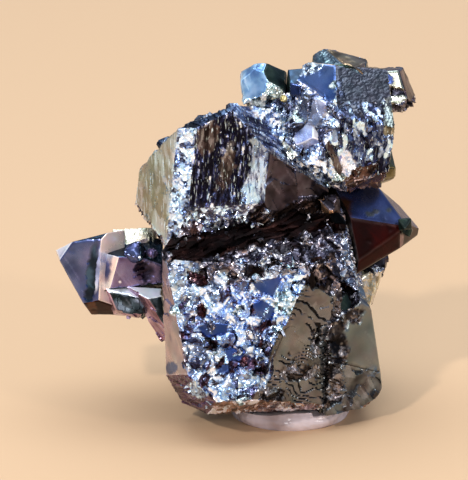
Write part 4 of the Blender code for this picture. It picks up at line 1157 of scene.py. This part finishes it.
crownCrystals = [
    {"centre": (-2.0, 1.0, 25.0), "rounded": (0.6, 0.12),
     "faces": {
         "blue": (-36, 22, 1.35, "cyanGloss"), "dark": (62, 44, 1.4, "greenDark"),
         "etched": (8, -34, 1.4, "paleEtched"), "top": (-20, 74, 1.75, "cyanGloss"),
         "left": (-88, -6, 1.7, "cyanGloss"), "leftTop": (-84, 44, 1.7, "cyanGloss"),
         "leftLow": (-66, -48, 1.65, "paleEtched"), "right": (88, 0, 1.7, "greenDark"),
         "foot": (0, -80, 1.75, "paleEtched"), "rightLow": (70, -44, 1.7, "paleEtched"),
         "back": (180, 0, 1.6, "backGloss"), "front": (26, 4, 1.55, "paleEtched"),
         "backTop": (175, 48, 1.6, "greenDark")},
     "patches": {
         "blue": [
             spot("paleEtched", (246, 102), (10, 5), ragged=4, strength=0.7, soft=3)]}},
    {"centre": (3.6, 1.0, 26.4), "rounded": (0.55, 0.14),
     "faces": {
         "top": (80, 74, 0.95, "oliveBeige"), "left": (-60, 50, 1.35, "slateCap"),
         "leftLow": (-80, 0, 1.85, "slateCap"), "leftTop": (-30, 72, 1.15, "slateCap"),
         "right": (70, 44, 1.5, "oliveBeige"), "rightLow": (84, 0, 1.95, "slateCap"),
         "front": (0, 12, 1.4, "slateCap"), "back": (180, 10, 1.4, "weathered"),
         "foot": (0, -88, 1.4, "hidden")},
     "patches": {
         "front": [
             area("palePlate", (322, 50), (352, 54), (356, 60), (330, 58), ragged=1.2),
             area("greenDark", (328, 60), (358, 62), (360, 68), (334, 68), ragged=1.2)]}},
    {"centre": (7.5, 1.5, 24.5),
     "faces": {
         "top": (10, 100, 1.7, "knobBand"), "front": (20, 22, 1.3, "knobOlive"),
         "right": (80, 20, 1.1, "knobBand"), "rightLow": (84, -34, 1.6, "darkBroken"),
         "left": (-80, 10, 1.2, "hidden"), "back": (180, 10, 1.4, "weathered"),
         "foot": (0, -80, 1.5, "hidden"), "frontLow": (30, -40, 1.4, "darkBroken")},
     "patches": {
         "front": [
             spot("navyGloss", (386, 80), (9, 5), ragged=3),
             spot("darkBroken", (396, 92), (12, 4), turn=10, ragged=3)]}},
    {"centre": (0.4, 0.3, 25.05),
     "faces": {
         "front": (-20, 10, 0.6, "navyGloss"), "top": (-10, 62, 0.75, "tealDark"),
         "right": (60, 10, 0.65, "navyGloss"), "left": (-80, 4, 0.6, "greenDark"),
         "under": (0, -50, 0.75, "linkRough"), "back": (180, 0, 0.9, "backGloss")}},
    # a small wedge painted by how light falls on it: white on its front and top faces and darker on its right
    # face, a painted light and shade
    {"centre": (1.6, -2.15, 22.15),
     "faces": {
         "left": (-48, 30, 0.36, "iceGloss"), "front": (38, 32, 0.36, "whiteTip"),
         "under": (-4, -40, 0.36, "iceGloss"), "right": (100, 0, 0.9, "slatePlate"),
         "top": (-10, 80, 1.1, "whiteTip"), "back": (170, 0, 0.6, "hidden")}},
    {"centre": (-0.6, 0.2, 23.6), "octahedron": (0.9, 0.85, (20, 10, 30)), "finish": ["linkRough"]},
    {"centre": (0.5, -0.6, 22.5), "octahedron": (0.9, 0.8, (-15, 30, 60)),
     "finish": ["linkRough", "paleEtched"]},
    {"centre": (-1.6, 1.0, 23.3), "octahedron": (0.9, 0.9, (35, -20, 10)), "finish": ["linkRough"]},
    {"centre": (0.2, -1.2, 20.9), "octahedron": (0.8, 0.8, (10, 45, 25)),
     "finish": ["paleEtched", "linkRough", "umberUnder"]},
    {"centre": (-0.55, -0.6, 24.6), "rounded": (0.3, 0.1), "octahedron": (0.3, 0.8, (30, 30, 0)),
     "finish": ["yellowGrain"]},
    {"centre": (-2.6, -0.2, 22.9), "rounded": (0.3, 0.1), "octahedron": (0.22, 0.8, (0, 30, 30)),
     "finish": ["yellowGrain"]},
]

backCrystals = [
    {"centre": (-4.5, 6.5, 9.0), "octahedron": (3.5, 0.72, (12, 20, 35)),
     "finish": ["weathered", "backGloss", "oliveGloss"]},
    {"centre": (3.5, 5.0, 13.5), "octahedron": (3.1, 0.8, (-25, 8, 10)),
     "finish": ["backGloss", "weathered", "royalGloss"]},
    {"centre": (-1.5, 4.5, 17.5), "octahedron": (2.8, 0.78, (30, -15, 50)),
     "finish": ["weathered", "slateGrain", "backGloss"]},
    {"centre": (2.5, 6.0, 5.5), "octahedron": (2.9, 0.75, (5, -28, 20)),
     "finish": ["backGloss", "weathered", "brownGloss"]},
    {"centre": (1.0, 3.5, 21.5), "octahedron": (2.2, 0.8, (-10, 24, 65)),
     "finish": ["weathered", "backGloss"]},
    {"centre": (-8.5, 5.5, 13.5), "octahedron": (1.5, 0.85, (40, 10, 15)),
     "finish": ["royalGloss", "weathered"]},
    {"centre": (5.9, 5.5, 10.3), "octahedron": (1.3, 0.85, (15, 35, 40)),
     "finish": ["weathered", "brownGloss"]},
    {"centre": (-5.2, 4.6, 20.0), "octahedron": (1.7, 0.82, (25, 40, 10)),
     "finish": ["weathered", "navyCrest"]},
    {"centre": (-8.0, 4.4, 17.5), "octahedron": (1.5, 0.8, (-20, 15, 30)),
     "finish": ["weathered", "backGloss"]},
    {"centre": (-9.2, 1.4, 20.4), "octahedron": (0.55, 0.85, (20, 20, 20)), "finish": ["navyCrest"]},
]

roughLooks = ["silverBroken", "darkBroken", "silverBroken", "tealGrain", "silverSwirl"]
darkLooks = ["darkBroken", "darkPits", "darkBroken", "umberUnder", "darkBroken"]
backLooks = ["weathered", "backGloss"]

# small crystals on a face: how many, their radii and spacing in mm, their finishes, and the seed
hillocksOn = [
    (baseCrystal, "front", 30, (0.35, 1.0), 1.1, roughLooks, 5),
    (baseCrystal, "shelf", 16, (0.5, 1.0), 1.2, darkLooks, 6),
    (baseCrystal, "heel", 4, (0.35, 0.6), 1.0, ["plumStriae", "whiteBroken"], 7),
    (baseCrystal, "back", 9, (0.5, 1.2), 1.5, backLooks, 8),
    (upperLeftCrystal, "band", 16, (0.3, 0.6), 0.7, ["sparkBand", "darkBroken", "sparkBand"], 9),
    (upperLeftCrystal, "under", 8, (0.4, 0.8), 1.0, ["umberUnder", "umberStreaks"], 10),
    (upperLeftCrystal, "back", 6, (0.6, 1.2), 1.6, backLooks, 11),
    (upperRightCrystal, "left", 5, (0.3, 0.5), 0.7, ["linkRough", "whiteBroken", "darkBroken"], 12),
    (upperRightCrystal, "chinLeft", 6, (0.35, 0.7), 0.8, ["linkRough", "paleEtched"], 13),
    (upperRightCrystal, "front", 6, (0.3, 0.55), 0.9, ["columns", "columns", "darkBroken"], 14),
    (shoulderCrystals, "front", 10, (0.25, 0.5), 0.6, ["shoulderSpark", "darkBroken"], 15),
    (shoulderCrystals, "left", 9, (0.3, 0.6), 0.7, ["shoulderSpark", "darkBroken", "slateBevel"], 16),
]
for crystals, *values in hillocksOn:
    crystals.extend(hillocks(crystals[0], *values))

crystalPieces = {
    "base_crystal": baseCrystal, "tablet_crystal": tabletCrystal, "upper_left_crystal": upperLeftCrystal,
    "upper_right_crystal": upperRightCrystal, "right_octahedron": rightOctahedron, "left_group": leftGroup,
    "shoulder_crystals": shoulderCrystals, "crown_crystals": crownCrystals, "back_crystals": backCrystals,
}
for seed, (name, crystals) in enumerate(crystalPieces.items(), 11):
    buildPiece(name, crystals, seed)

print("putty")
putty = {
    "edge": 0.16, "swell": 0.16, "swellSize": 2.2, "fold": 0.10, "foldSize": 1.1,    # mm
    "radius": 4.5, "rise": 0.25,      # mm; the relief fades out over the rise from the underside
    "colour": (228, 212, 214), "dark": (168, 148, 144), "rough": 0.16, "coat": 0.3, "sharpAngle": 50,
}


def puttyMaterial():
    material = bpy.data.materials.new("puttyFilm")
    material.use_nodes = True
    tree = material.node_tree
    shader = tree.nodes["Principled BSDF"]
    where = tree.nodes.new("ShaderNodeTexCoord").outputs["Object"]
    clouds = noiseNode(tree, where, 260.0, 4.0)
    ramp = tree.nodes.new("ShaderNodeValToRGB")
    ramp.color_ramp.elements[0].position, ramp.color_ramp.elements[1].position = 0.35, 0.62
    ramp.color_ramp.elements[0].color = (*linear(putty["dark"]), 1)
    ramp.color_ramp.elements[1].color = (*linear(putty["colour"]), 1)
    tree.links.new(clouds, ramp.inputs["Fac"])
    tree.links.new(ramp.outputs["Color"], shader.inputs["Base Color"])
    smear = mathNode(tree, "MULTIPLY", clouds, 0.2)
    tree.links.new(mathNode(tree, "ADD", smear, putty["rough"] - 0.08), shader.inputs["Roughness"])
    bump = tree.nodes.new("ShaderNodeBump")
    bump.inputs["Strength"].default_value, bump.inputs["Distance"].default_value = 0.35, 0.00006
    tree.links.new(noiseNode(tree, where, 1500.0, 3.0), bump.inputs["Height"])
    tree.links.new(bump.outputs["Normal"], shader.inputs["Normal"])
    shader.inputs["Coat Weight"].default_value = putty["coat"]
    return material


def buildPutty():
    bm = bmesh.new()
    bm.from_mesh(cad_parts["mounting_putty"].data)
    bmesh.ops.transform(bm, matrix=Matrix.Scale(1 / mm, 4), verts=bm.verts)
    bmesh.ops.remove_doubles(bm, verts=bm.verts, dist=0.002)
    layer = bm.faces.layers.int.new("faceNumber")
    bmesh.ops.recalc_face_normals(bm, faces=bm.faces)
    refine(bm, layer, [putty["edge"]])
    mesh = bpy.data.meshes.new("pressed_putty")
    bm.to_mesh(mesh)
    bm.free()
    points = np.empty(len(mesh.vertices) * 3)
    mesh.vertices.foreach_get("co", points)
    points = points.reshape(-1, 3)
    normals = np.empty(len(mesh.vertices) * 3)
    mesh.vertex_normals.foreach_get("vector", normals)
    normals = normals.reshape(-1, 3)
    around = np.arctan2(points[:, 1], points[:, 0]) * putty["radius"]
    swell = layeredNoise(around, points[:, 2] * 1.5, putty["swellSize"], 5) - 0.6
    ridge = np.abs(layeredNoise(around + points[:, 2], points[:, 2] * 2, putty["foldSize"], 9) - 0.5) * 2
    free = np.clip(points[:, 2] / putty["rise"], 0, 1) * np.clip((0.9 - np.abs(normals[:, 2])) * 3, 0, 1)
    push = (putty["swell"] * swell - putty["fold"] * np.clip(0.5 - ridge, 0, 1)) * free
    points = points + normals * push[:, None]
    mesh.vertices.foreach_set("co", (points * mm).ravel())
    mesh.attributes.remove(mesh.attributes["faceNumber"])
    mesh.polygons.foreach_set("use_smooth", np.ones(len(mesh.polygons), bool))
    mesh.materials.append(puttyMaterial())
    mesh.update()
    mesh.set_sharp_from_angle(angle=math.radians(putty["sharpAngle"]))
    piece = bpy.data.objects.new("pressed_putty", mesh)
    bpy.context.scene.collection.objects.link(piece)
    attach(piece, "root")
    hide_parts("mounting_putty")
    print("pressed_putty", len(mesh.polygons), "triangles")


buildPutty()

print("floor and lights")
studio = {
    "floor": (206, 170, 134), "floorReach": 6,                      # m
    "world": (0.52, 0.68, 1.0), "worldStrength": 0.42,
    "middle": (0, 0, 0.014),                                        # m, the point that the lights face
    "sky": ((0, 0.05, 0.45), 0.55, 2.9, (0.84, 0.93, 1.0)),         # place and width in m, watts, colour
    # azimuth and elevation, distance and width in m, watts, colour
    "lamps": {
        "keyLight": ((-30, 40), 0.6, 0.04, 1.5, (1.0, 0.97, 0.92)),
        "frontLight": ((-8, 20), 0.5, 0.16, 0.55, (1.0, 0.98, 0.96)),
        "fillLight": ((48, 22), 0.5, 0.05, 0.5, (1.0, 0.98, 0.95)),
    },
}

floorMesh = bpy.data.meshes.new("floor")
bm = bmesh.new()
bmesh.ops.create_grid(bm, x_segments=2, y_segments=2, size=studio["floorReach"])
bm.to_mesh(floorMesh)
bm.free()
floor = bpy.data.objects.new("floor", floorMesh)
bpy.context.scene.collection.objects.link(floor)
floorMaterial = bpy.data.materials.new("paleFloor")
floorMaterial.use_nodes = True
floorShader = floorMaterial.node_tree.nodes["Principled BSDF"]
floorShader.inputs["Base Color"].default_value = (*linear(studio["floor"]), 1)
floorShader.inputs["Roughness"].default_value = 0.9
floorShader.inputs["Specular IOR Level"].default_value = 0.1
floorMesh.materials.append(floorMaterial)

world = bpy.data.worlds.new("studioWorld")
world.use_nodes = True
world.node_tree.nodes["Background"].inputs["Color"].default_value = (*studio["world"], 1)
world.node_tree.nodes["Background"].inputs["Strength"].default_value = studio["worldStrength"]
bpy.context.scene.world = world


def areaLight(name, place, size, power, colour):
    data = bpy.data.lights.new(name, "AREA")
    data.shape, data.size, data.energy, data.color = "DISK", size, power, colour
    light = bpy.data.objects.new(name, data)
    light.location = place
    light.rotation_euler = (Vector(studio["middle"]) - Vector(place)).to_track_quat("-Z", "Y").to_euler()
    bpy.context.scene.collection.objects.link(light)


areaLight("skyLight", *studio["sky"])
for name, (way, away, size, power, colour) in studio["lamps"].items():
    areaLight(name, Vector(studio["middle"]) + facing(*way) * away, size, power, colour)
